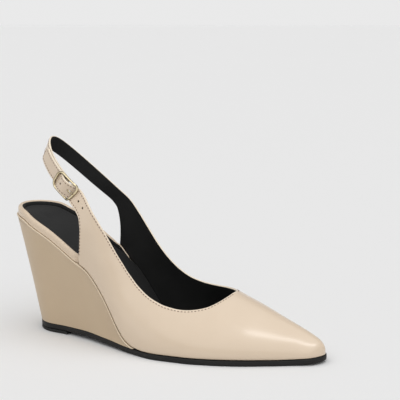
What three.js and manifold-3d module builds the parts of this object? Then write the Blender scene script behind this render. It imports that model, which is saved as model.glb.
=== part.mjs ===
// A pointed slingback pump on a covered wedge, for the right foot, standing empty on its sole.
// Millimetres. +X runs to the toe, +Y to the inner side of the foot, +Z up.
// While it is worked out, x counts from the back of the heel; at the end the shoe moves to its bottom centre.
import * as THREE from "three";
import Module from "manifold-3d";

// Driving sizes
const LENGTH = 237.6; // back of the heel seat to the toe tip
const BALL_WIDTH = 77; // across the widest part of the sole
const HEEL_HEIGHT = 84; // floor to the wedge's top edge, at the back
const HEEL_PITCH = 19.2; // how far the wedge's foot stands forward of its top
const OUTSOLE_THICKNESS = 3.6;
const LIFT_THICKNESS = 2.6; // the heel's top piece, on the floor
const LIFT_LENGTH = 32.5;
const TOE_SPRING = 1.7;
const UPPER_WALL = 1.5; // leather and lining together
const STRAP_WALL = 1.3;
const LOOP_WALL = 0.8; // the strap's skived end round the buckle
const FEATHER_INSET = 0.6; // the sole's edge shows this much around the upper
const RAND_HEIGHT = 6;
const RAND_WIDTH = 3.6;
const RAND_INSET = 0.7; // the wedge's top edge shows this much around the rand
const RAND_TUCK = 9; // length of the rand's ends inside the quarters
const INSOLE_THICKNESS = 3;
const VAMP_LENGTH = 65.2; // toe tip to the throat
const INSTEP_RISE = 37; // height of the vamp over the sole, at the throat
const STRAP_WIDTH = 11.2;
const STRAP_HEIGHT = 135; // middle of the strap, behind the ankle
const STRAP_SLOPE = 0.68; // fall of the strap's sides for each mm of their run in plan
const STRAP_TURN = 4; // how far the strap's bend behind the ankle is rounded off, in height
const ANKLE_BACK = 25; // how far the strap stands forward of the heel's back, behind the ankle
const ANKLE_DEPTH = 57; // from there to the ankle's widest place
const ANKLE_POINT = 1.12; // 1 rounds its back as an ellipse, more makes it narrower
const ANKLE_WIDEST = 103; // above this height the ankle keeps its width
const ACHILLES_LEAN = 0.5; // the ankle's back leans forward this much for each mm up
const BUCKLE_LENGTH = 20.4;
const WIRE = 1.3; // thickness of the buckle's wire
const PRONG_WIRE = 1;
const BUCKLE_ROUND = 3; // radius of the frame's corners, along the wire's middle
const SIDE_PLAY = 0.45; // between the strap's edge and the frame
const BAR_PLAY = 0.45; // between a strap and the bar over it
const GAP = 0.3; // between two pieces that touch

const TAIL_LENGTH = 33.3; // free end of the strap, past the buckle's middle bar
const TAIL_ROUND = 2.5; // radius of the free end's corners
const BUCKLE_LEAD = 13.2; // from the buckle's middle bar to the root of the strap
const ROOT_LEAD = 3.66; // from the root to the quarter's last rib, in the side view
const ROOT_WIDTH = 12.2;
const TIP_LENGTH = 10; // the vamp's round tip

// Places that follow from them
const HEEL_ROUND = 34; // depth of the round of the heel seat
const TOE_ROUND = 8;
const FOOT_ROUND = 20; // depth of the round of the wedge's foot
const WEDGE_FRONT = 0.497 * LENGTH; // where the wedge runs out on the sole
const QUARTER_BACK = 0.29 * LENGTH; // back edge of the quarters
const THROAT = LENGTH - VAMP_LENGTH;
const LIFT_FRONT = HEEL_PITCH + LIFT_LENGTH;
const WIRE_RADIUS = WIRE / 2;
const PRONG_RADIUS = PRONG_WIRE / 2;

// The footbed's plan: middle line and half width, as shares of the ball width
const PLAN = [
  { along: 0.0, middle: 0.0, half: 0.352 },
  { along: 0.192, middle: -0.012, half: 0.352 },
  { along: 0.2875, middle: -0.03, half: 0.353 },
  { along: 0.385, middle: -0.052, half: 0.382 },
  { along: 0.479, middle: -0.058, half: 0.434 },
  { along: 0.575, middle: -0.045, half: 0.484 },
  { along: 0.651, middle: -0.017, half: 0.484 },
  { along: 0.727, middle: 0.007, half: 0.446 },
  { along: 0.803, middle: 0.032, half: 0.373 },
  { along: 0.8795, middle: 0.066, half: 0.272 },
  { along: 0.947, middle: 0.102, half: 0.182 },
  { along: 1.0, middle: 0.112, half: 0.108 },
];
// How far the wedge's foot is set in under the footbed, as a share of the ball width
const TUCK = [
  { along: 0.0, tuck: 0.104 },
  { along: 0.192, tuck: 0.102 },
  { along: 0.286, tuck: 0.072 },
  { along: 0.385, tuck: 0.036 },
  { along: 0.48, tuck: 0.01 },
  { along: 0.55, tuck: 0.0 },
];
// The footbed's side view: its height over the sole, as a share of the wedge's height at the back
const SEAT = [
  { along: 0.0, height: 1.0 },
  { along: 0.035, height: 0.988 },
  { along: 0.077, height: 0.965 },
  { along: 0.108, height: 0.921 },
  { along: 0.173, height: 0.828 },
  { along: 0.216, height: 0.752 },
  { along: 0.272, height: 0.647 },
  { along: 0.319, height: 0.574 },
  { along: 0.352, height: 0.486 },
  { along: 0.384, height: 0.372 },
  { along: 0.41, height: 0.258 },
  { along: 0.439, height: 0.132 },
  { along: 0.466, height: 0.051 },
  { along: 0.497, height: 0.0105 },
  { along: 0.525, height: 0.0 },
];
// The sole's lift off the floor behind the ball, as a share of the top piece's thickness
const WAIST = [
  { along: 0.0, lift: 1.0 },
  { along: 0.212, lift: 1.0 },
  { along: 0.286, lift: 1.07 },
  { along: 0.385, lift: 0.75 },
  { along: 0.48, lift: 0.18 },
  { along: 0.55, lift: 0.0 },
];
const TOE_SPRING_START = 0.89;

// Cross sections of the foot's form. rise is its height over the feather edge, as a share of INSTEP_RISE,
// ridge its place across, as a share of the ball width, and side how high the side wall stands up straight,
// as a share of the rise.
const SECTIONS = [
  { along: 0.234, rise: 2.2, ridge: 0.0, side: 0.6 },
  { along: 0.29, rise: 2.1, ridge: 0.0, side: 0.6 },
  { along: 0.406, rise: 1.98, ridge: 0.03, side: 0.52 },
  { along: 0.482, rise: 1.9, ridge: 0.04, side: 0.44 },
  { along: 0.554, rise: 1.66, ridge: 0.05, side: 0.39 },
  { along: 0.617, rise: 1.38, ridge: 0.06, side: 0.37 },
  { along: 0.681, rise: 1.13, ridge: 0.065, side: 0.37 },
  { along: 0.725, rise: 1.0, ridge: 0.07, side: 0.37 },
  { along: 0.803, rise: 0.81, ridge: 0.08, side: 0.37 },
  { along: 0.871, rise: 0.62, ridge: 0.095, side: 0.37 },
  { along: 0.923, rise: 0.475, ridge: 0.108, side: 0.37 },
  { along: 0.96, rise: 0.35, ridge: 0.112, side: 0.38 },
  { along: 1.0, rise: 0.18, ridge: 0.112, side: 0.42 },
];
// Its crown on the outer and the inner side: how far it reaches level, as a share of the half width, and
// how far it has dropped there, as a share of the rise
const CROWN = [
  { along: 0.29, outReach: 1.0, outDrop: 0.04, inReach: 1.0, inDrop: 0.04 },
  { along: 0.406, outReach: 0.7, outDrop: 0.14, inReach: 0.75, inDrop: 0.08 },
  { along: 0.482, outReach: 0.48, outDrop: 0.2, inReach: 0.64, inDrop: 0.08 },
  { along: 0.554, outReach: 0.38, outDrop: 0.2, inReach: 0.65, inDrop: 0.06 },
  { along: 0.617, outReach: 0.36, outDrop: 0.17, inReach: 0.66, inDrop: 0.03 },
  { along: 0.681, outReach: 0.36, outDrop: 0.09, inReach: 0.64, inDrop: 0.0 },
  { along: 0.725, outReach: 0.38, outDrop: 0.0, inReach: 0.58, inDrop: 0.0 },
  { along: 0.803, outReach: 0.42, outDrop: 0.0, inReach: 0.52, inDrop: 0.0 },
  { along: 0.93, outReach: 0.45, outDrop: 0.0, inReach: 0.48, inDrop: 0.0 },
  { along: 1.0, outReach: 0.46, outDrop: 0.0, inReach: 0.46, inDrop: 0.0 },
];
const SIDE_BULGE = 0.042; // how far the side wall leans out, as a share of the ball width
const NOSE_SHARE = 0.55; // the nose's height at the very tip, as a share of the rise there
const NOSE_ROUND = 5;

// The topline beside the foot: height over the sole, as a share of INSTEP_RISE
const TOPLINE = [
  { along: 0.45, height: 1.33 },
  { along: 0.478, height: 1.14 },
  { along: 0.504, height: 1.018 },
  { along: 0.53, height: 0.927 },
  { along: 0.55, height: 0.878 },
  { along: 0.58, height: 0.812 },
  { along: 0.61, height: 0.783 },
];
const MOUTH_DEPTH = 42; // length of the topline's front curve, behind the throat
const MOUTH_OUTER = 0.405; // its half widths there, as shares of the ball width
const MOUTH_INNER = 0.34;
const MOUTH_POWER = 2.1; // 1 is a plain V, 2 a round
const BLEND_START = 0.55; // where the side's height hands over to the front curve
const BLEND_END = 0.61;
const INNER_RISE = 2; // the inner topline stands this much higher

// Ribs of the quarter in side view, from its lower edge to its topline. Places are shares of LENGTH and
// heights shares of HEEL_HEIGHT. The first stand on the wedge, and the rest rise along the back edge.
const QUARTER_FOOT = [
  { rib: 0, low: 0.4515 },
  { rib: 1, low: 0.41 },
  { rib: 2, low: 0.372 },
  { rib: 3, low: 0.34 },
  { rib: 4, low: 0.313 },
  { rib: 5, low: 0.29 },
  { rib: 6, low: 0.295 },
  { rib: 7, low: 0.297 },
  { rib: 8, low: 0.289 },
  { rib: 9, low: 0.27 },
];
const QUARTER_BACK_EDGE = [
  { rib: 5, height: 0.69 },
  { rib: 6, height: 0.8 },
  { rib: 7, height: 0.92 },
  { rib: 8, height: 1.035 },
  { rib: 9, height: 1.101 },
];
const QUARTER_TOP = [
  { rib: 0, outTop: 0.451, inTop: 0.451, height: 0.635 },
  { rib: 1, outTop: 0.4245, inTop: 0.4235, height: 0.745 },
  { rib: 2, outTop: 0.403, inTop: 0.4, height: 0.84 },
  { rib: 3, outTop: 0.3825, inTop: 0.3785, height: 0.93 },
  { rib: 4, outTop: 0.362, inTop: 0.3575, height: 1.01 },
  { rib: 5, outTop: 0.346, inTop: 0.3415, height: 1.07 },
  { rib: 6, outTop: 0.3355, inTop: 0.3315, height: 1.106 },
  { rib: 7, outTop: 0.324, inTop: 0.3205, height: 1.142 },
  { rib: 8, outTop: 0.3125, inTop: 0.3105, height: 1.172 },
  { rib: 9, outTop: 0.299, inTop: 0.298, height: 1.208 },
];
const STANDING_RIBS = 5; // the rib at the foot of the back edge
const ANKLE_RIB = 4.5; // from here on the quarter leaves the form for the ankle, where the strap lies
const LAST_RIB = 9;
const ARCH_FACETS = 10; // from feather edge to ridge or topline
const STRAP_FACETS = 5; // odd, so that the prong's slot falls in the middle

// Curves through tables
// A smooth curve through a table's rows that keeps level stretches level.
function through(rows, key, at = "along") {
  const x = rows.map((r) => r[at]);
  const y = rows.map((r) => r[key]);
  const slope = x.slice(1).map((v, i) => (y[i + 1] - y[i]) / (v - x[i]));
  const tangent = y.map((_, i) => {
    if (i === 0) return slope[0];
    if (i === y.length - 1) return slope[i - 1];
    if (slope[i - 1] * slope[i] <= 0) return 0;
    const before = x[i] - x[i - 1];
    const after = x[i + 1] - x[i];
    const a = 2 * after + before;
    const b = after + 2 * before;
    return (a + b) / (a / slope[i - 1] + b / slope[i]);
  });
  return (v) => {
    if (v <= x[0]) return y[0];
    if (v >= x.at(-1)) return y.at(-1);
    const i = x.findIndex((k) => k > v) - 1;
    const step = x[i + 1] - x[i];
    const t = (v - x[i]) / step;
    const rest = 1 - t;
    return (
      y[i] * (1 + 2 * t) * rest * rest +
      tangent[i] * step * t * rest * rest +
      y[i + 1] * t * t * (3 - 2 * t) -
      tangent[i + 1] * step * t * t * rest
    );
  };
}
const clamp01 = (t) => Math.min(1, Math.max(0, t));
const smooth = (t) => clamp01(t) ** 2 * (3 - 2 * clamp01(t));
const mix = (a, b, t) => a + (b - a) * t;
// A quarter round: 0 at the end of a shape, 1 at t = 1.
const round = (t) => Math.sqrt(1 - (1 - clamp01(t)) ** 2);
const steps = (n) => Array.from({ length: n + 1 }, (_, i) => i / n);
// Stations that crowd together towards the start, for a round that begins there
const crowded = (from, to, n) => steps(n).map((t) => mix(from, to, 1 - Math.cos((t * Math.PI) / 2)));

// The sole and footbed
const planMiddle = through(PLAN, "middle");
const planHalf = through(PLAN, "half");
const planTuck = through(TUCK, "tuck");
const seatHeight = through(SEAT, "height");
const waistLift = through(WAIST, "lift");

const middleAt = (x) => BALL_WIDTH * planMiddle(x / LENGTH);
// The footbed's half width, set in by an inset all round.
function bedHalf(x, inset = 0) {
  const ends = round((x - inset) / HEEL_ROUND) * round((LENGTH - inset - x) / TOE_ROUND);
  return (BALL_WIDTH * planHalf(x / LENGTH) - inset) * ends;
}
function soleHalf(x) {
  const ends = round((x - HEEL_PITCH) / FOOT_ROUND) * round((LENGTH - x) / TOE_ROUND);
  return BALL_WIDTH * (planHalf(x / LENGTH) - planTuck(x / LENGTH)) * ends;
}
function soleBottom(x) {
  const spring = clamp01((x / LENGTH - TOE_SPRING_START) / (1 - TOE_SPRING_START));
  return LIFT_THICKNESS * waistLift(x / LENGTH) + TOE_SPRING * spring ** 2;
}
const soleTop = (x) => soleBottom(x) + OUTSOLE_THICKNESS;
const SEAT_RISE = HEEL_HEIGHT - soleTop(0);
// The line on which upper, rand and insole stand: the wedge's top, and ahead of it the sole's.
const bedTop = (x) => soleTop(x) + SEAT_RISE * seatHeight(x / LENGTH);
// Stations along the bent part of the wedge's top, shared by all that stands on it
const BEND_START = 0.3 * WEDGE_FRONT;
const quarterFoot = through(QUARTER_FOOT, "low", "rib");
const SIDE_BACK = 0.481 * LENGTH;
const bendStations = [
  ...steps(8).map((t) => mix(BEND_START, QUARTER_BACK, t)),
  ...steps(2 * STANDING_RIBS).slice(1).map((t) => LENGTH * quarterFoot(STANDING_RIBS * (1 - t))),
  SIDE_BACK,
  WEDGE_FRONT,
];
const snap = (x) => bendStations.reduce((best, s) => (Math.abs(s - x) < Math.abs(best - x) ? s : best));

// The form of the foot
const OUTER = -1; // the side of the little toe
const INNER = 1;
const riseAt = through(SECTIONS, "rise");
const ridgeAt = through(SECTIONS, "ridge");
const sideAt = through(SECTIONS, "side");
const crownReach = { [OUTER]: through(CROWN, "outReach"), [INNER]: through(CROWN, "inReach") };
const crownDrop = { [OUTER]: through(CROWN, "outDrop"), [INNER]: through(CROWN, "inDrop") };

// The four handles of the section curve at x, on one side, from the feather edge to the ridge.
function handles(x, side) {
  const share = x / LENGTH;
  const half = bedHalf(x, FEATHER_INSET);
  const nose = mix(NOSE_SHARE, 1, round((LENGTH - FEATHER_INSET - x) / NOSE_ROUND));
  const rise = INSTEP_RISE * riseAt(share) * nose;
  const low = bedTop(x) + GAP;
  const taper = half / (BALL_WIDTH / 2);
  const bulge = SIDE_BULGE * BALL_WIDTH * Math.min(1, 1.6 * taper);
  const ridge = mix(middleAt(x), BALL_WIDTH * ridgeAt(share), Math.min(1, 2 * taper));
  return [
    [middleAt(x) + side * half, low],
    [middleAt(x) + side * (half + bulge), low + sideAt(share) * rise],
    [ridge + side * crownReach[side](share) * half, low + rise * (1 - crownDrop[side](share))],
    [ridge, low + rise],
  ];
}
function bezier(p, t) {
  const r = 1 - t;
  return [0, 1].map((k) => r ** 3 * p[0][k] + 3 * r * r * t * p[1][k] + 3 * r * t * t * p[2][k] + t ** 3 * p[3][k]);
}
// The share of the curve, from its lower end, at which a measure of it passes a value.
function solve(p, k, value) {
  const rising = p[3][k] > p[0][k];
  let low = 0;
  let high = 1;
  for (let i = 0; i < 40; i++) {
    const t = (low + high) / 2;
    if (bezier(p, t)[k] < value === rising) low = t;
    else high = t;
  }
  return (low + high) / 2;
}
// The form's half width at a point of the side view.
function formSide(x, z, side) {
  const p = handles(x, side);
  return bezier(p, solve(p, 1, z))[0];
}

// The topline, as a share of the section curve
const toplineHeight = through(TOPLINE, "height");
function toplineShare(x, side) {
  if (x >= THROAT) return 1;
  const p = handles(x, side);
  const t = clamp01((THROAT - x) / MOUTH_DEPTH);
  const lift = side === INNER ? INNER_RISE * t : 0;
  const bySide = solve(p, 1, soleTop(x) + INSTEP_RISE * toplineHeight(x / LENGTH) + lift);
  const spread = (1 - (1 - t) ** MOUTH_POWER) ** (1 / MOUTH_POWER);
  const mouth = BALL_WIDTH * (side === OUTER ? MOUTH_OUTER : MOUTH_INNER);
  const byPlan = solve(p, 0, p[3][0] + side * mouth * spread);
  return mix(bySide, byPlan, smooth((x / LENGTH - BLEND_START) / (BLEND_END - BLEND_START)));
}

// Ribs of the upper, each a row of points from its lower edge to its top
function archRib(x, side) {
  const p = handles(x, side);
  const top = toplineShare(x, side);
  return steps(ARCH_FACETS).map((t) => {
    const [y, z] = bezier(p, top * t);
    return new THREE.Vector3(x, y, z);
  });
}
const backEdge = through(QUARTER_BACK_EDGE, "height", "rib");
const quarterTop = { [OUTER]: through(QUARTER_TOP, "outTop", "rib"), [INNER]: through(QUARTER_TOP, "inTop", "rib") };
const quarterTopHeight = through(QUARTER_TOP, "height", "rib");
function quarterRib(rib, side) {
  const start = new THREE.Vector2(LENGTH * quarterFoot(rib), HEEL_HEIGHT * backEdge(rib));
  if (rib <= STANDING_RIBS) start.y = bedTop(start.x) + GAP;
  const lift = side === INNER ? INNER_RISE * (1 - smooth((rib - 4) / 5)) : 0;
  const end = new THREE.Vector2(LENGTH * quarterTop[side](rib), HEEL_HEIGHT * quarterTopHeight(rib) + lift);
  const facets = Math.round(mix(ARCH_FACETS, STRAP_FACETS, clamp01((rib - 4) / (LAST_RIB - 4))));
  const atAnkle = smooth((rib - ANKLE_RIB) / (LAST_RIB - ANKLE_RIB));
  return steps(facets).map((t) => {
    const p = start.clone().lerp(end, t);
    return new THREE.Vector3(p.x, mix(formSide(p.x, p.y, side), ankleSide(p.x, p.y, side), atAnkle), p.y);
  });
}

// The strap around the ankle. At each height the ankle is about half an ellipse in plan.
const ankleBack = (z) => ANKLE_BACK + ACHILLES_LEAN * (z - STRAP_HEIGHT);
const ankleFront = ANKLE_BACK + ANKLE_DEPTH;
const ankleWidth = (z, side) => formSide(ankleFront, Math.min(z, ANKLE_WIDEST), side);
function ankle(angle, z) {
  const y = ankleWidth(z, angle > 0 ? OUTER : INNER) * Math.abs(Math.sin(angle)) ** ANKLE_POINT;
  return new THREE.Vector3(mix(ankleBack(z), ankleFront, 1 - Math.cos(angle)), y, z);
}
// Its half width at a point of the side view
function ankleSide(x, z, side) {
  const level = clamp01((ankleFront - x) / (ankleFront - ankleBack(z))); // 1 behind it, 0 at its widest
  return ankleWidth(z, side) * Math.sqrt(1 - level ** 2) ** ANKLE_POINT;
}
// The strap's middle line by angle, and the run along it from behind the ankle
const TRACE = [{ angle: 0, run: 0, at: ankle(0, STRAP_HEIGHT) }];
for (let i = 1, level = 0; i <= 110; i++) {
  const angle = (i * Math.PI) / 220;
  const last = TRACE.at(-1);
  const flat = ankle(angle, last.at.z);
  level += Math.hypot(flat.x - last.at.x, flat.y - last.at.y);
  const drop = Math.hypot(level * STRAP_SLOPE, STRAP_TURN) - STRAP_TURN;
  const at = ankle(angle, STRAP_HEIGHT - drop);
  TRACE.push({ angle, run: last.run + at.distanceTo(last.at), at });
}
// Places along the strap, measured along it from the middle behind the ankle
const rootX = LENGTH * mix(quarterFoot(LAST_RIB), quarterTop[OUTER](LAST_RIB), 0.5) - ROOT_LEAD;
const beforeRoot = TRACE.findLast((s) => s.at.x < rootX);
const STRAP_ROOT = beforeRoot.run + (rootX - beforeRoot.at.x) / Math.cos(Math.atan(STRAP_SLOPE));
const BUCKLE_PLACE = STRAP_ROOT - BUCKLE_LEAD;
const TAIL_END = BUCKLE_PLACE - TAIL_LENGTH;
function strapMiddle(run) {
  const i = Math.max(1, TRACE.findIndex((s) => s.run >= Math.abs(run)));
  const [a, b] = [TRACE[i - 1], TRACE[i]];
  const t = (Math.abs(run) - a.run) / (b.run - a.run);
  const angle = Math.sign(run) * mix(a.angle, b.angle, t);
  return { angle, at: ankle(angle, mix(a.at.z, b.at.z, t)) };
}
// A point by its run along the strap, its place across it and its height over the ankle.
function onStrap(run, across, height) {
  const step = 0.8;
  const { angle, at } = strapMiddle(run);
  const along = strapMiddle(run + step).at.sub(strapMiddle(run - step).at).normalize();
  const up = ankle(angle, at.z + 1).sub(ankle(angle, at.z - 1)).normalize();
  const out = new THREE.Vector3().crossVectors(along, up).normalize();
  const over = new THREE.Vector3().crossVectors(out, along).normalize();
  return at.clone().addScaledVector(over, across).addScaledVector(out, height);
}
const strapRib = (run, height, width = STRAP_WIDTH) =>
  steps(STRAP_FACETS).map((t) => onStrap(run, (t - 0.5) * width, height));

// Heights of the outer strap's face over the ankle, by the distance ahead of the buckle's middle bar
const PASS_OVER = [
  { ahead: -11, height: GAP + STRAP_WALL },
  { ahead: -9.5, height: GAP + STRAP_WALL },
  { ahead: -8.5, height: 1.8 },
  { ahead: -6.4, height: 3.3 },
  { ahead: -3.8, height: 4.9 },
  { ahead: -1.8, height: 5.4 },
  { ahead: 0, height: 5.45 },
  { ahead: 1.8, height: 5.2 },
  { ahead: 3.8, height: 4.2 },
  { ahead: 6.2, height: 2.1 },
  { ahead: 8.2, height: 0.45 },
  { ahead: 9.5, height: -0.02 },
  { ahead: 11, height: 0 },
];
const SLOT_START = 4; // the hole that the prong comes through
const SLOT_END = 7.3;
const LUG_START = -2.6; // where the inner strap's end parts into two lugs
const LUG_END = -1.6;
const overHeight = through(PASS_OVER, "height", "ahead");
const BAR_REACH = (BUCKLE_LENGTH - WIRE) / 2;
const REAR_BAR = GAP + STRAP_WALL + BAR_PLAY + WIRE_RADIUS;
const FRONT_BAR = BAR_PLAY + WIRE_RADIUS;
const barHeight = (ahead) => mix(REAR_BAR, FRONT_BAR, (ahead + BAR_REACH) / (2 * BAR_REACH));
const MIDDLE_BAR = barHeight(0);

// Building solids out of triangles
const keyOf = (p) => p.toArray().map((v) => Math.round(v * 1e4)).join(" ");
// Triangles between two rows of points, which may differ in number.
function strip(a, b) {
  const out = [];
  const [m, n] = [a.length - 1, b.length - 1];
  let i = 0;
  let j = 0;
  while (i < m || j < n) {
    const fromA = j === n || (i < m && (i + 1) * n <= (j + 1) * m);
    if (fromA) out.push([a[i], b[j], a[++i]]);
    else out.push([a[i], b[j], b[++j]]);
  }
  return out;
}
const strips = (rows) => rows.slice(1).flatMap((row, i) => strip(rows[i], row));
const flip = (tris) => tris.map(([a, b, c]) => [a, c, b]);
const real = (tris) => tris.filter((t) => new Set(t.map(keyOf)).size === 3);
function volume(tris) {
  return tris.reduce((sum, [a, b, c]) => sum + a.dot(new THREE.Vector3().crossVectors(b, c)) / 6, 0);
}
const outward = (tris) => (volume(tris) < 0 ? flip(tris) : tris);

// A sheet given by its outer face becomes a wall. wallAt gives the thickness at a point.
function thicken(sheet, wallAt) {
  const tris = real(sheet);
  const normals = new Map();
  for (const [a, b, c] of tris) {
    const n = new THREE.Vector3().crossVectors(b.clone().sub(a), c.clone().sub(a)).normalize();
    for (const [p, q, r] of [[a, b, c], [b, c, a], [c, a, b]]) {
      const angle = q.clone().sub(p).angleTo(r.clone().sub(p));
      const key = keyOf(p);
      normals.set(key, (normals.get(key) ?? new THREE.Vector3()).addScaledVector(n, angle));
    }
  }
  const under = (p) => p.clone().addScaledVector(normals.get(keyOf(p)).clone().normalize(), -wallAt(p));
  const edges = new Map();
  for (const t of tris) {
    t.forEach((p, i) => {
      const q = t[(i + 1) % 3];
      const back = `${keyOf(q)}|${keyOf(p)}`;
      if (edges.has(back)) edges.delete(back);
      else edges.set(`${keyOf(p)}|${keyOf(q)}`, [p, q]);
    });
  }
  const inner = flip(tris).map((t) => t.map(under));
  const rim = [...edges.values()].flatMap(([p, q]) => [[q, p, under(p)], [q, under(p), under(q)]]);
  return [...tris, ...inner, ...rim];
}
// A flat piece between two heights, whose outline is given by its two edges at each station.
function slab(stations, edgesAt, lowAt, highAt) {
  const row = (side, zAt) => stations.map((x) => new THREE.Vector3(x, edgesAt(x)[side], zAt(x)));
  const ring = [row(0, lowAt), row(0, highAt), row(1, highAt), row(1, lowAt)];
  const end = (i) => [[ring[0][i], ring[1][i], ring[2][i]], [ring[0][i], ring[2][i], ring[3][i]]];
  return outward(real([...strips([...ring, ring[0]]), ...flip(end(0)), ...end(stations.length - 1)]));
}
// A round wire along a path of points, each with a direction that its section keeps to.
function wire(path, radius, closed, facets = 8) {
  const n = path.length;
  const sections = path.map(({ at, out }, i) => {
    const next = path[closed ? (i + 1) % n : Math.min(n - 1, i + 1)].at;
    const last = path[closed ? (i + n - 1) % n : Math.max(0, i - 1)].at;
    const along = next.clone().sub(last).normalize();
    const side = new THREE.Vector3().crossVectors(along, out).normalize();
    const up = new THREE.Vector3().crossVectors(side, along).normalize();
    return steps(facets).map((t) => {
      const a = 2 * Math.PI * (t === 1 ? 0 : t);
      return at.clone().addScaledVector(side, radius * Math.cos(a)).addScaledVector(up, radius * Math.sin(a));
    });
  });
  if (closed) return outward(real(strips([...sections, sections[0]])));
  const cap = (ring, at) => ring.slice(1).map((p, i) => [at, ring[i], p]);
  const ends = [...cap(sections[0], path[0].at), ...flip(cap(sections.at(-1), path.at(-1).at))];
  return outward(real([...strips(sections), ...ends]));
}

const wasm = await Module();
wasm.setup();
// A solid out of closed triangles, for joining.
function toManifold(tris) {
  const index = new Map();
  const points = [];
  const corners = tris.flat().map((p) => {
    const key = keyOf(p);
    if (!index.has(key)) {
      index.set(key, index.size);
      points.push(...p.toArray());
    }
    return index.get(key);
  });
  const mesh = new wasm.Mesh({
    numProp: 3,
    vertProperties: new Float32Array(points),
    triVerts: new Uint32Array(corners),
  });
  return new wasm.Manifold(mesh);
}
function fromManifold(solid) {
  const { numProp, vertProperties, triVerts } = solid.getMesh();
  const point = (i) => new THREE.Vector3(...vertProperties.slice(i * numProp, i * numProp + 3));
  const out = [];
  for (let i = 0; i < triVerts.length; i += 3) {
    out.push([point(triVerts[i]), point(triVerts[i + 1]), point(triVerts[i + 2])]);
  }
  return out;
}

// Outsole and heel lift
const soleEdges = (x) => [middleAt(x) - soleHalf(x), middleAt(x) + soleHalf(x)];
const soleStations = [
  ...crowded(HEEL_PITCH, HEEL_PITCH + FOOT_ROUND, 8),
  ...steps(26).slice(1, -1).map((t) => mix(HEEL_PITCH + FOOT_ROUND, LENGTH - TOE_ROUND, t)),
  ...crowded(LENGTH, LENGTH - TOE_ROUND, 6).reverse(),
];
const outsole = slab(soleStations, soleEdges, soleBottom, soleTop);

const liftStations = [
  ...crowded(HEEL_PITCH, HEEL_PITCH + FOOT_ROUND, 8),
  mix(HEEL_PITCH + FOOT_ROUND, LIFT_FRONT, 0.5),
  LIFT_FRONT,
];
const heelLift = slab(liftStations, soleEdges, () => 0, () => LIFT_THICKNESS - GAP);

// Wedge: its walls run from the footbed's outline down to the sole's
const WEDGE_LEVELS = 6;
const WEDGE_HOLLOW = 0.6; // how far its walls are drawn in halfway up
const wedgeShares = [...crowded(0, BEND_START, 9), ...bendStations.slice(1)].map((x) => x / WEDGE_FRONT);
function wedgePoint(share, side, level) {
  const top = mix(0, WEDGE_FRONT, share);
  const foot = mix(HEEL_PITCH, WEDGE_FRONT, share);
  const upper = new THREE.Vector3(top, middleAt(top) + side * bedHalf(top), bedTop(top));
  const lower = new THREE.Vector3(foot, middleAt(foot) + side * soleHalf(foot), soleTop(foot) + GAP);
  const p = lower.lerp(upper, level);
  const hollow = 4 * level * (1 - level) * WEDGE_HOLLOW;
  const sideways = round(share / 0.2);
  p.x += hollow * (1 - sideways);
  p.y -= side * hollow * sideways * round((1 - share) / 0.3);
  return p;
}
function wedgeTriangles() {
  const rings = steps(WEDGE_LEVELS).map((level) => ({
    outer: wedgeShares.map((share) => wedgePoint(share, OUTER, level)),
    inner: wedgeShares.map((share) => wedgePoint(share, INNER, level)),
  }));
  const walls = strips(rings.map((r) => [...r.outer, ...r.inner.slice().reverse()]));
  const cap = (r) => strip(r.outer, r.inner);
  return outward(real([...walls, ...flip(cap(rings[0])), ...cap(rings.at(-1))]));
}
const wedge = wedgeTriangles();

// Insole: inside the rand behind, inside the upper ahead
const RAND_END = snap(QUARTER_BACK + RAND_TUCK);
const RAND_INNER = RAND_INSET + RAND_WIDTH;
const UPPER_INNER = FEATHER_INSET + UPPER_WALL;
const insoleInset = (x) => GAP + mix(RAND_INNER, UPPER_INNER + 0.2, smooth((x - RAND_END - 1) / 8));
const insoleEdges = (x) => [OUTER, INNER].map((side) => middleAt(x) + side * bedHalf(x, insoleInset(x)));
const insoleBack = GAP + RAND_INNER;
const insoleToe = LENGTH - insoleInset(LENGTH) - 3;
const insoleStations = [
  ...crowded(insoleBack, BEND_START, 8),
  ...bendStations.slice(1),
  ...steps(12).slice(1).map((t) => mix(WEDGE_FRONT, insoleToe, t)),
];
const insoleLow = (x) => bedTop(x) + GAP;
const insole = slab(insoleStations, insoleEdges, insoleLow, (x) => insoleLow(x) + INSOLE_THICKNESS);

// Rand: a rounded band round the heel seat, whose ends run in under the quarters
// Its section, from the outer foot over the top: across as a share of its width, up of its height
const RAND_SECTION = [
  { across: 0, up: 0 },
  { across: 0.04, up: 0.35 },
  { across: 0.02, up: 0.7 },
  { across: 0.22, up: 0.93 },
  { across: 0.5, up: 1 },
  { across: 0.85, up: 0.92 },
  { across: 1, up: 0.7 },
  { across: 1, up: 0 },
];
function randSection(walk, side) {
  const tucked = smooth((walk - QUARTER_BACK + 5) / 4.4);
  const outer = mix(RAND_INSET, UPPER_INNER + GAP + 0.1, tucked);
  const height = RAND_HEIGHT * mix(1, 0.45, smooth((walk - QUARTER_BACK - 1) / (RAND_TUCK - 1)));
  return RAND_SECTION.map(({ across, up }) => {
    const inset = mix(outer, RAND_INNER, across);
    const x = walk < BEND_START ? mix(inset, BEND_START, walk / BEND_START) : walk;
    return new THREE.Vector3(x, middleAt(x) + side * bedHalf(x, inset), bedTop(x) + GAP + up * height);
  });
}
function randTriangles() {
  const bend = bendStations.filter((x) => x > BEND_START && x < RAND_END - 1);
  const walk = [...crowded(0, BEND_START, 9), ...bend, RAND_END];
  const rows = [
    ...walk.slice(1).reverse().map((x) => randSection(x, OUTER)),
    randSection(0, OUTER),
    ...walk.slice(1).map((x) => randSection(x, INNER)),
  ];
  const cap = (row) => row.slice(2).map((p, i) => [row[0], row[i + 1], p]);
  return outward(real([...strips(rows.map((r) => [...r, r[0]])), ...cap(rows[0]), ...flip(cap(rows.at(-1)))]));
}
const rand = randTriangles();

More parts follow.
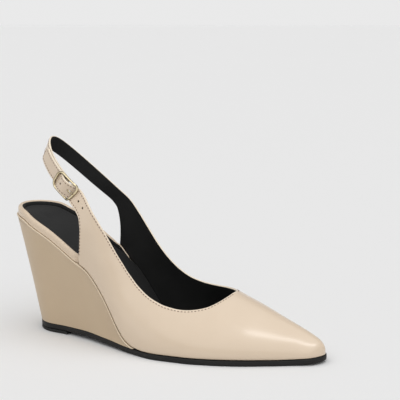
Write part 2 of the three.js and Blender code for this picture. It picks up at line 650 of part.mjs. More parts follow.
// Upper
const toeEnd = LENGTH - FEATHER_INSET;
const vampStations = [
  ...steps(9).slice(0, -1).map((t) => mix(THROAT, toeEnd - TIP_LENGTH, t)),
  ...crowded(toeEnd, toeEnd - TIP_LENGTH, 5).reverse(),
];
const mouthStations = crowded(THROAT, THROAT - MOUTH_DEPTH, 8);
const sideStations = [0.5, 1].map((t) => mix(THROAT - MOUTH_DEPTH, SIDE_BACK, t));
const WIDENING = 3; // length over which the strap widens into the quarter
const rootWidth = (run) => mix(STRAP_WIDTH, ROOT_WIDTH, smooth((Math.abs(run) - STRAP_ROOT) / WIDENING + 1));
const skived = new Map(); // points of the sheet where the wall is thinner

// True for a triangle in the middle facet between two ribs of the strap.
function inMiddle(tri, a, b) {
  const m = (STRAP_FACETS - 1) / 2;
  const middle = [a[m], a[m + 1], b[m], b[m + 1]];
  return tri.every((p) => middle.includes(p));
}
// The strap's faces; where open(i) holds, its middle facet is left out after rib i.
function strapFaces(rows, open) {
  return rows.slice(1).flatMap((row, i) => {
    const tris = strip(rows[i], row);
    return open(i) ? tris.filter((t) => !inMiddle(t, rows[i], row)) : tris;
  });
}
// The outer strap passes over the middle bar and under the two others, to its free end.
function outerStrap() {
  const root = STRAP_ROOT - BUCKLE_PLACE;
  const ahead = [root, 11.4, 9.5, 8.3, SLOT_END, 6.2, 5.1, SLOT_START, 2, 0, -1.8, -3.8, -6.4, -8.5, -9.5, -11];
  const runs = ahead.map((a) => BUCKLE_PLACE + a);
  const tail = steps(7).slice(1).map((t) => mix(runs.at(-1), TAIL_END + TAIL_ROUND, t));
  const tip = crowded(TAIL_END, TAIL_END + TAIL_ROUND, 3).reverse().slice(1);
  const rows = [...runs, ...tail, ...tip].map((run) => {
    const corner = 2 * TAIL_ROUND * (1 - round((run - TAIL_END) / TAIL_ROUND));
    return strapRib(run, overHeight(run - BUCKLE_PLACE), rootWidth(run) - corner);
  });
  return { rows, faces: strapFaces(rows, (i) => ahead[i] <= SLOT_END && ahead[i] > SLOT_START) };
}
// The inner strap comes round behind the ankle; its end turns round the middle bar on two lugs.
function innerStrap() {
  const rows = steps(26).map((t) => mix(-STRAP_ROOT, BUCKLE_PLACE - 6, t)).map((run) => strapRib(run, 0, rootWidth(run)));
  const inner = WIRE_RADIUS + GAP;
  const below = MIDDLE_BAR - inner;
  rows.push(strapRib(BUCKLE_PLACE - 4.2, 0.3 * below));
  const thin = [strapRib(BUCKLE_PLACE + LUG_START, 0.75 * below)];
  for (const t of steps(6)) {
    const a = Math.PI * (t - 0.5);
    thin.push(strapRib(BUCKLE_PLACE + inner * Math.cos(a), MIDDLE_BAR + inner * Math.sin(a)));
  }
  thin.push(strapRib(BUCKLE_PLACE + LUG_END, MIDDLE_BAR + inner));
  for (const p of thin.flat()) skived.set(keyOf(p), LOOP_WALL);
  const lugs = rows.length;
  rows.push(...thin);
  return { rows, faces: strapFaces(rows, (i) => i >= lugs) };
}
function upperSheet() {
  const arches = vampStations.map((x) => [...archRib(x, OUTER), ...archRib(x, INNER).reverse().slice(1)]);
  const faces = strips(arches);
  for (const side of [OUTER, INNER]) {
    const strap = side === OUTER ? outerStrap() : innerStrap();
    const ribs = [
      ...[...mouthStations, ...sideStations].map((x) => archRib(x, side)),
      ...steps(2 * LAST_RIB).map((t) => quarterRib(LAST_RIB * t, side)),
      strap.rows[0],
    ];
    const wing = [...strips(ribs), ...strap.faces];
    faces.push(...(side === OUTER ? flip(wing) : wing));
  }
  return faces;
}
function upperWall(p) {
  return skived.get(keyOf(p)) ?? mix(UPPER_WALL, STRAP_WALL, smooth((p.z / HEEL_HEIGHT - 1) / 0.15));
}
const upper = thicken(upperSheet(), upperWall);

// Buckle
function frameTriangles() {
  const half = STRAP_WIDTH / 2 + SIDE_PLAY + WIRE_RADIUS;
  const corner = (sx, sy) =>
    steps(3).map((t) => {
      const a = (Math.PI / 2) * (sx * sy > 0 ? t : 1 - t);
      const inX = BAR_REACH - BUCKLE_ROUND + BUCKLE_ROUND * Math.cos(a);
      return [sx * inX, sy * (half - BUCKLE_ROUND + BUCKLE_ROUND * Math.sin(a))];
    });
  const straight = (sy) => [1, 0, -1].map((t) => [sy * 3.2 * t, sy * half]);
  const path = [...corner(1, 1), ...straight(1), ...corner(-1, 1)];
  path.push(...corner(-1, -1), ...straight(-1), ...corner(1, -1));
  const place = ([ahead, across]) => {
    const at = onStrap(BUCKLE_PLACE + ahead, across, barHeight(ahead));
    return { at, out: onStrap(BUCKLE_PLACE + ahead, across, barHeight(ahead) + 1).sub(at) };
  };
  const ring = wire(path.map(place), WIRE_RADIUS, true);
  const bar = wire([-1, 0, 1].map((t) => place([0, t * half])), WIRE_RADIUS, false);
  return fromManifold(toManifold(ring).add(toManifold(bar)));
}
function prongTriangles() {
  const eye = WIRE_RADIUS + GAP + PRONG_RADIUS;
  const tip = FRONT_BAR + WIRE_RADIUS + GAP + PRONG_RADIUS;
  const across = onStrap(BUCKLE_PLACE, 1, 0).sub(onStrap(BUCKLE_PLACE, -1, 0));
  const place = (ahead, height) => ({ at: onStrap(BUCKLE_PLACE + ahead, 0, height), out: across });
  const ring = steps(12).slice(0, -1).map((t) => {
    const a = 2 * Math.PI * t;
    return place(eye * Math.cos(a), MIDDLE_BAR + eye * Math.sin(a));
  });
  const arm = [
    place(eye, MIDDLE_BAR),
    place(3.5, mix(MIDDLE_BAR, tip, 0.3)),
    place(7, mix(MIDDLE_BAR, tip, 0.9)),
    place(BAR_REACH - 0.6, tip),
    place(BAR_REACH + 0.7, tip - 0.05),
  ];
  return fromManifold(toManifold(wire(ring, PRONG_RADIUS, true)).add(toManifold(wire(arm, PRONG_RADIUS, false))));
}
// The looks of each piece, as colours of the display
const NUDE_LEATHER = { color: 0xdac9b0, roughness: 0.34, metalness: 0 };
const COVER_LEATHER = { color: 0xc9b593, roughness: 0.38, metalness: 0 };
const BLACK_LEATHER = { color: 0x171516, roughness: 0.62, metalness: 0 };
const BLACK_RUBBER = { color: 0x121212, roughness: 0.55, metalness: 0 };
const GOLD_BRASS = { color: 0xd8bd84, roughness: 0.24, metalness: 1 };
const PIECES = [
  { name: "outsole", tris: outsole, looks: BLACK_RUBBER },
  { name: "heel_lift", tris: heelLift, looks: { ...BLACK_RUBBER, roughness: 0.7 } },
  { name: "wedge", tris: wedge, looks: COVER_LEATHER },
  { name: "rand", tris: rand, looks: NUDE_LEATHER },
  { name: "insole", tris: insole, looks: BLACK_LEATHER },
  { name: "upper", tris: upper, looks: NUDE_LEATHER },
  { name: "buckle_frame", tris: frameTriangles(), looks: GOLD_BRASS },
  { name: "buckle_prong", tris: prongTriangles(), looks: GOLD_BRASS },
];

const group = new THREE.Group();
for (const { name, tris, looks } of PIECES) {
  const geometry = new THREE.BufferGeometry();
  const points = tris.flat().flatMap((p) => p.toArray());
  geometry.setAttribute("position", new THREE.Float32BufferAttribute(points, 3));
  const mesh = new THREE.Mesh(geometry, new THREE.MeshStandardMaterial(looks));
  mesh.name = name;
  group.add(mesh);
}
// The bottom centre of the whole shoe becomes the origin.
const bounds = new THREE.Box3().setFromObject(group);
const centre = bounds.getCenter(new THREE.Vector3());
for (const mesh of group.children) mesh.geometry.translate(-centre.x, -centre.y, -bounds.min.z);

export default group;
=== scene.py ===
"""A pointed slingback pump on a covered wedge, for the right foot, standing empty on its sole.

Sizes are millimetres, with x counted from the back of the heel, until a piece is made.
+X runs to the toe, +Y to the inner side of the foot and +Z up.
"""
import math

import bmesh
import bpy
import numpy as np
from mathutils import Matrix, Vector
from mathutils.kdtree import KDTree


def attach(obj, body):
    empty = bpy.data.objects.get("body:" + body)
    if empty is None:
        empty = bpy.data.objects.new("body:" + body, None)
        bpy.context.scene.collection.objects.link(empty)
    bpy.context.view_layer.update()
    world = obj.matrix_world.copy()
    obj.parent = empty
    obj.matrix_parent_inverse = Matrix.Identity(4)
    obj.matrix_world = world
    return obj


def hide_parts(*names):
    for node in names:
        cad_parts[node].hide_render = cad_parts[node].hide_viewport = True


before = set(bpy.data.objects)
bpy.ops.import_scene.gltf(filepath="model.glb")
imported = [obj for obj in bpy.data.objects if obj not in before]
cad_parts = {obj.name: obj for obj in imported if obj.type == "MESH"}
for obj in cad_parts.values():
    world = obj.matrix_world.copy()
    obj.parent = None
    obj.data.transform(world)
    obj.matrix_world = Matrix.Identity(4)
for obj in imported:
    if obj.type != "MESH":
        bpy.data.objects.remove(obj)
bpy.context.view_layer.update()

# Outsole
# A thin black rubber unit under the whole shoe. Its waist arches up behind the ball and its toe springs.
# It is cut from sheet, with a dull buffed edge, and cemented on.
LENGTH = 237.6
BALL_WIDTH = 77.0
HEEL_PITCH = 19.2
OUTSOLE_THICKNESS = 3.6
LIFT_THICKNESS = 2.6
LIFT_LENGTH = 32.5
TOE_SPRING = 1.7
TOE_SPRING_START = 0.89
TOE_ROUND = 8.0
FOOT_ROUND = 20.0
GAP = 0.3
WIDTH_MIDDLE = -2.351
MIDDLE = np.array([LENGTH / 2, WIDTH_MIDDLE, 0.0])
METRE = 1000.0
OUTER, INNER = -1, 1
WELD = 1e-6


def table(columns, *rows):
    """Rows of values as dictionaries, their columns' names said once."""
    return [dict(zip(columns.split(), row)) for row in rows]


PLAN = table(
    "along middle half",
    (0.0, 0.0, 0.352),
    (0.192, -0.012, 0.352),
    (0.2875, -0.03, 0.353),
    (0.385, -0.052, 0.382),
    (0.479, -0.058, 0.434),
    (0.575, -0.045, 0.484),
    (0.651, -0.017, 0.484),
    (0.727, 0.007, 0.446),
    (0.803, 0.032, 0.373),
    (0.8795, 0.066, 0.272),
    (0.947, 0.102, 0.182),
    (1.0, 0.112, 0.108),
)
TUCK = table(
    "along tuck",
    (0.0, 0.104),
    (0.192, 0.102),
    (0.286, 0.072),
    (0.385, 0.036),
    (0.48, 0.01),
    (0.55, 0.0),
)
WAIST = table(
    "along lift",
    (0.0, 1.0),
    (0.212, 1.0),
    (0.286, 1.07),
    (0.385, 0.75),
    (0.48, 0.18),
    (0.55, 0.0),
)


def through(rows, key, at="along"):
    """A smooth curve through a table's rows that keeps level stretches level."""
    x = [r[at] for r in rows]
    y = [r[key] for r in rows]
    slope = [(y[i + 1] - y[i]) / (x[i + 1] - x[i]) for i in range(len(x) - 1)]
    tangent = [slope[0]]
    for i in range(1, len(x) - 1):
        before, after = x[i] - x[i - 1], x[i + 1] - x[i]
        if slope[i - 1] * slope[i] <= 0:
            tangent.append(0.0)
        else:
            a, b = 2 * after + before, after + 2 * before
            tangent.append((a + b) / (a / slope[i - 1] + b / slope[i]))
    tangent.append(slope[-1])

    def curve(v):
        if v <= x[0]:
            return y[0]
        if v >= x[-1]:
            return y[-1]
        i = next(k for k in range(len(x)) if x[k] > v) - 1
        step = x[i + 1] - x[i]
        t = (v - x[i]) / step
        r = 1 - t
        return (
            y[i] * (1 + 2 * t) * r * r
            + tangent[i] * step * t * r * r
            + y[i + 1] * t * t * (3 - 2 * t)
            - tangent[i + 1] * step * t * t * r
        )

    return curve


def clamp(t):
    return min(1.0, max(0.0, t))


def smooth(t):
    t = clamp(t)
    return t * t * (3 - 2 * t)


def ease(v, start, end):
    """0 up to the start, 1 from the end on, and a smooth change between."""
    return smooth((v - start) / (end - start))


def mix(a, b, t):
    return a + (b - a) * t


def rounding(t):
    """A quarter round: 0 at the end of a shape, 1 at t = 1."""
    return math.sqrt(1 - (1 - clamp(t)) ** 2)


def crowded(start, end, n):
    """Stations that crowd together towards the start."""
    return [mix(start, end, 1 - math.cos(math.pi / 2 * i / n)) for i in range(n + 1)]


def even(start, end, n):
    return [mix(start, end, i / n) for i in range(n + 1)]


plan_middle = through(PLAN, "middle")
plan_half = through(PLAN, "half")
plan_tuck = through(TUCK, "tuck")
waist_lift = through(WAIST, "lift")


def middle_at(x):
    return BALL_WIDTH * plan_middle(x / LENGTH)


def sole_half(x, inset=0.0):
    ends = rounding((x - HEEL_PITCH - inset) / FOOT_ROUND) * rounding((LENGTH - inset - x) / TOE_ROUND)
    return (BALL_WIDTH * (plan_half(x / LENGTH) - plan_tuck(x / LENGTH)) - inset) * ends


def sole_bottom(x):
    spring = clamp((x / LENGTH - TOE_SPRING_START) / (1 - TOE_SPRING_START))
    return LIFT_THICKNESS * waist_lift(x / LENGTH) + TOE_SPRING * spring**2


def sole_top(x):
    return sole_bottom(x) + OUTSOLE_THICKNESS


def add_object(name, data):
    thing = bpy.data.objects.new(name, data)
    bpy.context.scene.collection.objects.link(thing)
    return thing


def make_piece(name, points, faces, material, sharp=None):
    """A mesh from points in millimetres, which rides with the shoe."""
    mesh = bpy.data.meshes.new(name)
    mesh.from_pydata([tuple(v) for v in (np.asarray(points, float) - MIDDLE) / METRE], [], faces)
    work = bmesh.new()
    work.from_mesh(mesh)
    bmesh.ops.remove_doubles(work, verts=work.verts, dist=WELD)
    bmesh.ops.dissolve_degenerate(work, edges=work.edges, dist=WELD / 10)
    bmesh.ops.recalc_face_normals(work, faces=work.faces)
    work.to_mesh(mesh)
    work.free()
    mesh.shade_smooth()
    if sharp:
        mesh.set_sharp_from_angle(angle=math.radians(sharp))
    mesh.materials.append(material)
    piece = add_object(name, mesh)
    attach(piece, "root")
    return piece


def tube_faces(base, rings, around, closed=False):
    """Quads between rings of points that follow each other; closed joins the last ring to the first."""
    faces = []
    for i in range(rings if closed else rings - 1):
        a, b = base + i * around, base + (i + 1) % rings * around
        for k in range(around):
            faces.append((a + k, a + (k + 1) % around, b + (k + 1) % around, b + k))
    return faces


def stack(name, rings, material, sharp=None, across=6):
    """A flat piece from outlines on top of each other. Each ring is its outer edge and its inner edge."""
    points = [p for outer, inner in rings for p in list(outer) + list(inner)[::-1]]
    faces = tube_faces(0, len(rings), 2 * len(rings[0][0]))
    for outer, inner in (rings[0], rings[-1]):
        base = len(points)
        rows = [even(np.array(a), np.array(b), across) for a, b in zip(outer, inner)]
        points += [p for row in rows for p in row]
        width = across + 1
        for i in range(len(rows) - 1):
            for k in range(across):
                a = base + i * width + k
                faces.append((a, a + 1, a + 1 + width, a + width))
    return make_piece(name, points, faces, material, sharp)


def add_node(tree, kind, inputs=None, **settings):
    """A shader node with its inputs set by name or number; a socket as a value is linked."""
    new = tree.nodes.new("ShaderNode" + kind)
    for key, value in settings.items():
        setattr(new, key, value)
    for key, value in (inputs or {}).items():
        if isinstance(value, bpy.types.NodeSocket):
            tree.links.new(value, new.inputs[key])
        else:
            new.inputs[key].default_value = value
    return new


def add_maths(tree, operation, a, b):
    return add_node(tree, "Math", {0: a, 1: b}, operation=operation).outputs[0]


def add_range(tree, value, start, end, low=0.0, high=1.0, kind="LINEAR"):
    sockets = {"Value": value, "From Min": start, "From Max": end, "To Min": low, "To Max": high}
    return add_node(tree, "MapRange", sockets, interpolation_type=kind).outputs["Result"]


def add_mix(tree, share, a, b):
    """Two colours mixed by a share."""
    return add_node(tree, "Mix", {0: share, 6: a, 7: b}, data_type="RGBA").outputs[2]


def new_group(name, takes, gives):
    """A shader node group with named inputs and outputs."""
    group = bpy.data.node_groups.new(name, "ShaderNodeTree")
    for label, kind, value in takes:
        socket = group.interface.new_socket(label, in_out="INPUT", socket_type=kind)
        socket.default_value = value
    for label, kind in gives:
        group.interface.new_socket(label, in_out="OUTPUT", socket_type=kind)
    return group, group.nodes.new("NodeGroupInput"), group.nodes.new("NodeGroupOutput")


def make_mottle():
    """The fine unevenness that rubber, leather and brass all have: soft patches and a grain."""
    group, takes, gives = new_group(
        "Mottle and grain",
        [
            ("Colour", "NodeSocketColor", (0.5, 0.5, 0.5, 1)),
            ("Patch colour", "NodeSocketColor", (0.4, 0.4, 0.4, 1)),
            ("Patches per metre", "NodeSocketFloat", 40.0),
            ("Patch amount", "NodeSocketFloat", 0.5),
            ("Grains per metre", "NodeSocketFloat", 1200.0),
            ("Roughness", "NodeSocketFloat", 0.4),
            ("Roughness change", "NodeSocketFloat", 0.1),
        ],
        [("Colour", "NodeSocketColor"), ("Roughness", "NodeSocketFloat"), ("Grain", "NodeSocketFloat")],
    )
    given = takes.outputs
    place = add_node(group, "TexCoord").outputs["Object"]
    cloud = add_node(
        group, "TexNoise",
        {"Vector": place, "Scale": given["Patches per metre"], "Detail": 3.0, "Roughness": 0.55},
    ).outputs["Fac"]
    amount = add_maths(group, "MULTIPLY", add_range(group, cloud, 0.3, 0.7), given["Patch amount"])
    grains = {"Vector": place, "Scale": given["Grains per metre"]}
    cells = add_node(group, "TexVoronoi", {**grains, "Randomness": 1.0}, feature="SMOOTH_F1")
    fine = add_node(group, "TexNoise", {**grains, "Detail": 2.0})
    change = add_maths(group, "MULTIPLY", cloud, given["Roughness change"])
    for label, socket in (
        ("Colour", add_mix(group, amount, given["Colour"], given["Patch colour"])),
        ("Roughness", add_maths(group, "ADD", change, given["Roughness"])),
        ("Grain", add_maths(group, "ADD", cells.outputs["Distance"], fine.outputs["Fac"])),
    ):
        group.links.new(socket, gives.inputs[label])
    return group


mottle = make_mottle()


def make_material(name, depth, looks=None, **values):
    """A material with the mottle's colour, roughness and grain, the grain with a depth in metres.

    The looks go on the shader's own sockets. With it come its nodes, its shader and the mottle's node.
    """
    material = bpy.data.materials.new(name)
    material.use_nodes = True
    tree = material.node_tree
    shader = next(n for n in tree.nodes if n.type == "BSDF_PRINCIPLED")
    block = add_node(tree, "Group", node_tree=mottle)
    for label, value in values.items():
        block.inputs[label.replace("_", " ").capitalize()].default_value = value
    bump = add_node(tree, "Bump", {"Height": block.outputs["Grain"], "Strength": 1.0, "Distance": depth})
    tree.links.new(block.outputs["Colour"], shader.inputs["Base Color"])
    tree.links.new(block.outputs["Roughness"], shader.inputs["Roughness"])
    tree.links.new(bump.outputs["Normal"], shader.inputs["Normal"])
    for label, value in (looks or {}).items():
        shader.inputs[label].default_value = value
    return material, tree, shader, block


def lighter(colour, times):
    return tuple(c * times for c in colour[:3]) + (1,)


def make_rubber(name, colour, roughness, depth):
    return make_material(
        name, depth, {"Specular IOR Level": 0.22}, Colour=colour, Patch_colour=lighter(colour, 1.6),
        Patches_per_metre=60.0, Grains_per_metre=1500.0, Roughness=roughness, Roughness_change=0.12,
    )[0]


sole_rubber = make_rubber("Sole rubber", (0.011, 0.0105, 0.01, 1), 0.46, 0.00003)
SOLE_PROFILE = table(
    "inset up",
    (1.1, 0.0),
    (0.35, 0.1),
    (0.05, 0.45),
    (0.0, 0.9),
    (0.0, 3.1),
    (0.1, 3.42),
    (0.4, OUTSOLE_THICKNESS),
)


def both_sides(profile, row):
    """Rings for a stack: a row of points on each side for each row of a profile."""
    return [tuple(row(side, **values) for side in (OUTER, INNER)) for values in profile]


def flat_rings(profile, stations, end, half, bottom):
    """Rings of a flat piece that runs from the heel's foot to an end."""

    def row(side, inset, up):
        places = [mix(HEEL_PITCH + inset, end - inset, s / (end - HEEL_PITCH)) for s in stations]
        return [(x, middle_at(x) + side * half(x, inset), bottom(x) + up) for x in places]

    return both_sides(profile, row)


FOOT_STATIONS, SOLE_STATIONS, TOE_STATIONS = 14, 90, 12
SOLE_RUN = LENGTH - HEEL_PITCH
sole_walk = crowded(0, FOOT_ROUND, FOOT_STATIONS)
sole_walk += even(FOOT_ROUND, SOLE_RUN - TOE_ROUND, SOLE_STATIONS)[1:-1]
sole_walk += crowded(SOLE_RUN, SOLE_RUN - TOE_ROUND, TOE_STATIONS)[::-1]
sole_rings = flat_rings(SOLE_PROFILE, sole_walk, LENGTH, sole_half, sole_bottom)
outsole = stack("outsole_unit", sole_rings, sole_rubber, sharp=50)
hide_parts("outsole")

# Heel lift
# The heel's top piece: harder rubber, cut to the heel's foot and square across its front edge.
# It is the only part of the heel that touches the floor.
lift_rubber = make_rubber("Lift rubber", (0.013, 0.013, 0.013, 1), 0.55, 0.00005)
LIFT_FRONT = HEEL_PITCH + LIFT_LENGTH
LIFT_PROFILE = table(
    "inset up",
    (0.7, 0.0),
    (0.2, 0.12),
    (0.0, 0.5),
    (0.0, 1.9),
    (0.15, 2.2),
    (0.4, LIFT_THICKNESS - GAP),
)


def lift_half(x, inset=0.0):
    return sole_half(min(x, LIFT_FRONT), inset)


lift_walk = crowded(0, FOOT_ROUND, FOOT_STATIONS) + even(FOOT_ROUND, LIFT_LENGTH, 6)[1:]
lift_rings = flat_rings(LIFT_PROFILE, lift_walk, LIFT_FRONT, lift_half, lambda x: 0.0)
lift = stack("lift_piece", lift_rings, lift_rubber, sharp=50)
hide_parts("heel_lift")

# Wedge
# A high moulded core in a cover of the upper's leather, pulled tight and lasted under at the foot; its
# colour is darkened as painted shade.
# Its top edge is folded over into a fine lip below the rand and beside the quarters, with a painted
# highlight along it.
HEEL_HEIGHT = 84.0
HEEL_ROUND = 34.0
WEDGE_FRONT = 0.497 * LENGTH
WEDGE_HOLLOW = 0.6
HOLLOW_START, HOLLOW_END = 0.2, 0.3
SEAT = table(
    "along height",
    (0.0, 1.0),
    (0.035, 0.988),
    (0.077, 0.965),
    (0.108, 0.921),
    (0.173, 0.828),
    (0.216, 0.752),
    (0.272, 0.647),
    (0.319, 0.574),
    (0.352, 0.486),
    (0.384, 0.372),
    (0.41, 0.258),
    (0.439, 0.132),
    (0.466, 0.051),
    (0.497, 0.0105),
    (0.525, 0.0),
)
seat_height = through(SEAT, "height")
SEAT_RISE = HEEL_HEIGHT - sole_top(0)


def bed_top(x):
    return sole_top(x) + SEAT_RISE * seat_height(x / LENGTH)


def bed_half(x, inset=0.0):
    ends = rounding((x - inset) / HEEL_ROUND) * rounding((LENGTH - inset - x) / TOE_ROUND)
    return (BALL_WIDTH * plan_half(x / LENGTH) - inset) * ends


def make_calf(name, colour, patch, roughness, coat, highlight_colour=None):
    """Smooth polished calf. An attribute on the turned edges mixes in a paler colour there as a painted
    highlight.
    """
    material, tree, shader, block = make_material(
        name, 0.000028, {"Coat Weight": coat, "Coat Roughness": 0.2, "Specular IOR Level": 0.45},
        Colour=colour, Patch_colour=patch, Patches_per_metre=34.0, Patch_amount=0.7,
        Grains_per_metre=1700.0, Roughness=roughness,
    )
    if highlight_colour:
        # Painted highlight: the colour is mixed towards a paler one along the turned edges.
        edge_highlight = add_node(tree, "Attribute", attribute_name="edge_highlight").outputs["Fac"]
        highlighted = add_mix(tree, edge_highlight, block.outputs["Colour"], highlight_colour)
        tree.links.new(highlighted, shader.inputs["Base Color"])
    return material


# Painted shade: the cover is the upper's calf given a darker colour, for the shade on the wedge's sides.
COVER_SHADED = (0.51, 0.395, 0.265, 1)
COVER_SHADED_PATCH = (0.485, 0.37, 0.25, 1)
# Painted highlight: the paler colour that is mixed in along the folded edges.
HIGHLIGHT_COLOUR = (0.80, 0.69, 0.54, 1)
shaded_cover_calf = make_calf("Wedge cover calf, painted shade", COVER_SHADED, COVER_SHADED_PATCH, 0.40, 0.12, HIGHLIGHT_COLOUR)


def in_mm(place):
    return np.array(place) * METRE + MIDDLE


# Marks where the painted highlight goes, as a share for each point.
def set_edge_highlight(piece, amounts):
    edge_highlight = piece.data.attributes.new("edge_highlight", "FLOAT", "POINT")
    edge_highlight.data.foreach_set("value", [float(a) for a in amounts])


def wedge_point(share, side, level):
    top = mix(0, WEDGE_FRONT, share)
    foot = mix(HEEL_PITCH, WEDGE_FRONT, share)
    upper = np.array([top, middle_at(top) + side * bed_half(top), bed_top(top)])
    lower = np.array([foot, middle_at(foot) + side * sole_half(foot), sole_top(foot) + GAP])
    p = mix(lower, upper, level)
    hollow = 4 * level * (1 - level) * WEDGE_HOLLOW
    sideways = rounding(share / HOLLOW_START)
    p[0] += hollow * (1 - sideways)
    p[1] -= side * hollow * sideways * rounding((1 - share) / HOLLOW_END)
    return p


LIP_HEIGHT = 1.1
LIP_FADE = 0.06
LIP_TURN = 2.0
LIP_HIGHLIGHT = 0.6
COVER_TOP = 0.96
LIP_PROFILE = table(
    "down out",
    (1.0, 0.0),
    (0.85, 0.12),
    (0.45, 0.2),
    (0.12, 0.1),
    (0.0, -0.12),
    (0.06, -0.5),
    (0.12, -1.4),
)
wedge_shares = [x / WEDGE_FRONT for x in crowded(0, HEEL_ROUND, 22)]
wedge_shares += [x / WEDGE_FRONT for x in even(HEEL_ROUND, WEDGE_FRONT, 60)[1:]]


def lip_row(side, down, out):
    """A row along the wedge's rolled top edge."""
    row = []
    for share in wedge_shares:
        fade = rounding((1 - share) / LIP_FADE)
        x = mix(0, WEDGE_FRONT, share)
        inset = -out * fade
        walk = mix(min(inset, LIP_TURN), x, x / HEEL_ROUND) if x < HEEL_ROUND else x
        half = bed_half(walk, inset)
        row.append((walk, middle_at(walk) + side * half, bed_top(walk) - down * LIP_HEIGHT * fade))
    return row


wedge_rings = [
    tuple([wedge_point(share, side, level) for share in wedge_shares] for side in (OUTER, INNER))
    for level in even(0, COVER_TOP, 15)
]
wedge_rings += both_sides(LIP_PROFILE, lip_row)
wedge = stack("wedge_cover", wedge_rings, shaded_cover_calf, sharp=60)
cover_places = [in_mm(v.co) for v in wedge.data.vertices]
# Painted highlight along the folded lip, paler towards its top edge.
set_edge_highlight(wedge, [LIP_HIGHLIGHT * ease(z, bed_top(x) - LIP_HEIGHT, bed_top(x)) for x, _, z in cover_places])
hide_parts("wedge")

# Sock
# A matt black leather sock over the insole board, tucked in behind rand and upper with a soft rim.
# The heel has pressed a shallow hollow into it.
RAND_WIDTH = 3.6
RAND_INSET = 0.7
RAND_TUCK = 9.0
FEATHER_INSET = 0.6
UPPER_WALL = 1.5
QUARTER_BACK = 0.29 * LENGTH
RAND_END = QUARTER_BACK + RAND_TUCK
RAND_INNER = RAND_INSET + RAND_WIDTH
UPPER_INNER = FEATHER_INSET + UPPER_WALL
SOCK_PLAY = 0.2
SOCK_EASE = 8.0
SOCK_SHORT = 3.0


def make_lining(name, colour, roughness):
    return make_material(
        name, 0.00004, {"Sheen Weight": 0.04, "Specular IOR Level": 0.2}, Colour=colour,
        Patch_colour=lighter(colour, 1.8), Patches_per_metre=50.0, Patch_amount=0.6,
        Grains_per_metre=1400.0, Roughness=roughness, Roughness_change=0.15,
    )[0]


sock_leather = make_lining("Sock leather", (0.009, 0.009, 0.009, 1), 0.6)


def insole_inset(x):
    return GAP + mix(RAND_INNER, UPPER_INNER + SOCK_PLAY, ease(x, RAND_END + 1, RAND_END + 1 + SOCK_EASE))


SOCK_BACK = GAP + RAND_INNER
SOCK_TOE = LENGTH - insole_inset(LENGTH) - SOCK_SHORT
SOCK_PROFILE = table(
    "inset up",
    (0.0, 0.0),
    (0.0, 2.2),
    (0.25, 2.75),
    (0.8, 3.0),
    (3.0, 2.9),
    (8.0, 2.6),
    (14.0, 2.35),
)
sock_shares = crowded(0, 0.12, 14) + even(0.12, 1, 80)[1:]


def sock_row(side, inset, up):
    row = []
    for share in sock_shares:
        x = mix(SOCK_BACK + inset, SOCK_TOE - 0.8 * inset, share)
        half = max(0.0, bed_half(x, insole_inset(x) + inset))
        row.append((x, middle_at(x) + side * half, bed_top(x) + GAP + up))
    return row


sock = stack("sock", both_sides(SOCK_PROFILE, sock_row), sock_leather, sharp=60)
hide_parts("insole")

# Rand
# A rounded band of the upper's leather round the heel seat, its ends run in under the quarters.
# Its top is a full roll, its outer face has a shallow furrow, and its inner face is black like the sock.
RAND_HEIGHT = 6.0
BEND_START = 0.3 * WEDGE_FRONT
RAND_SECTION = table(
    "across up",
    (0.05, 0.0),
    (0.0, 0.06),
    (0.0, 0.14),
    (0.045, 0.2),
    (0.035, 0.3),
    (0.02, 0.5),
    (0.03, 0.66),
    (0.09, 0.8),
    (0.2, 0.91),
    (0.34, 0.98),
    (0.5, 1.0),
    (0.66, 0.97),
    (0.8, 0.88),
    (0.92, 0.78),
    (1.0, 0.62),
    (1.0, 0.3),
    (1.0, 0.0),
)
LINED_FROM = 12
RAND_PRESSED = 0.45
RAND_DRAWN = (-5.0, -0.6)
NUDE = (0.63, 0.508, 0.38, 1)
NUDE_PATCH = (0.605, 0.482, 0.356, 1)
rand_calf = make_calf("Rand calf", NUDE, NUDE_PATCH, 0.34, 0.2)
lining_leather = make_lining("Lining leather", (0.008, 0.008, 0.0078, 1), 0.55)


def rand_row(walk, side):
    """A section of the rand. Before the quarter it draws in, and below the quarter it is pressed flat."""
    drawn = ease(walk, QUARTER_BACK + RAND_DRAWN[0], QUARTER_BACK + RAND_DRAWN[1])
    outer = mix(RAND_INSET, UPPER_INNER + GAP + 0.1, drawn)
    height = RAND_HEIGHT * mix(1, RAND_PRESSED, ease(walk, QUARTER_BACK + 1, RAND_END))
    row = []
    for r in RAND_SECTION:
        inset = mix(outer, RAND_INNER, r["across"])
        x = mix(inset, BEND_START, walk / BEND_START) if walk < BEND_START else walk
        row.append((x, middle_at(x) + side * bed_half(x, inset), bed_top(x) + GAP + r["up"] * height))
    return row


rand_walk = crowded(0, BEND_START, 26) + even(BEND_START, RAND_END, 44)[1:]
rand_rows = [rand_row(w, OUTER) for w in rand_walk[:0:-1]] + [rand_row(w, INNER) for w in rand_walk]
rand_points = [p for row in rand_rows for p in row]
RING = len(RAND_SECTION)
rand_faces = tube_faces(0, len(rand_rows), RING)
last = len(rand_points) - RING
rand_faces += [tuple(range(RING)), tuple(range(last, last + RING))]
rand = make_piece("rand_band", rand_points, rand_faces, rand_calf, sharp=60)
rand.data.materials.append(lining_leather)


def nearest_of(points):
    """A function from a place in the scene to the index of the nearest of some points in millimetres."""
    tree = KDTree(len(points))
    for i, p in enumerate(points):
        tree.insert(Vector(p), i)
    tree.balance()
    return lambda place: tree.find(Vector(in_mm(place)))[1]


rand_face_at = nearest_of([np.mean([rand_points[k] for k in face], axis=0) for face in rand_faces])
for face in rand.data.polygons:
    at = rand_face_at(face.center)
    lined = at < len(rand_faces) - 2 and at % RING in range(LINED_FROM, RING - 1)
    face.material_index = int(lined)
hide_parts("rand")

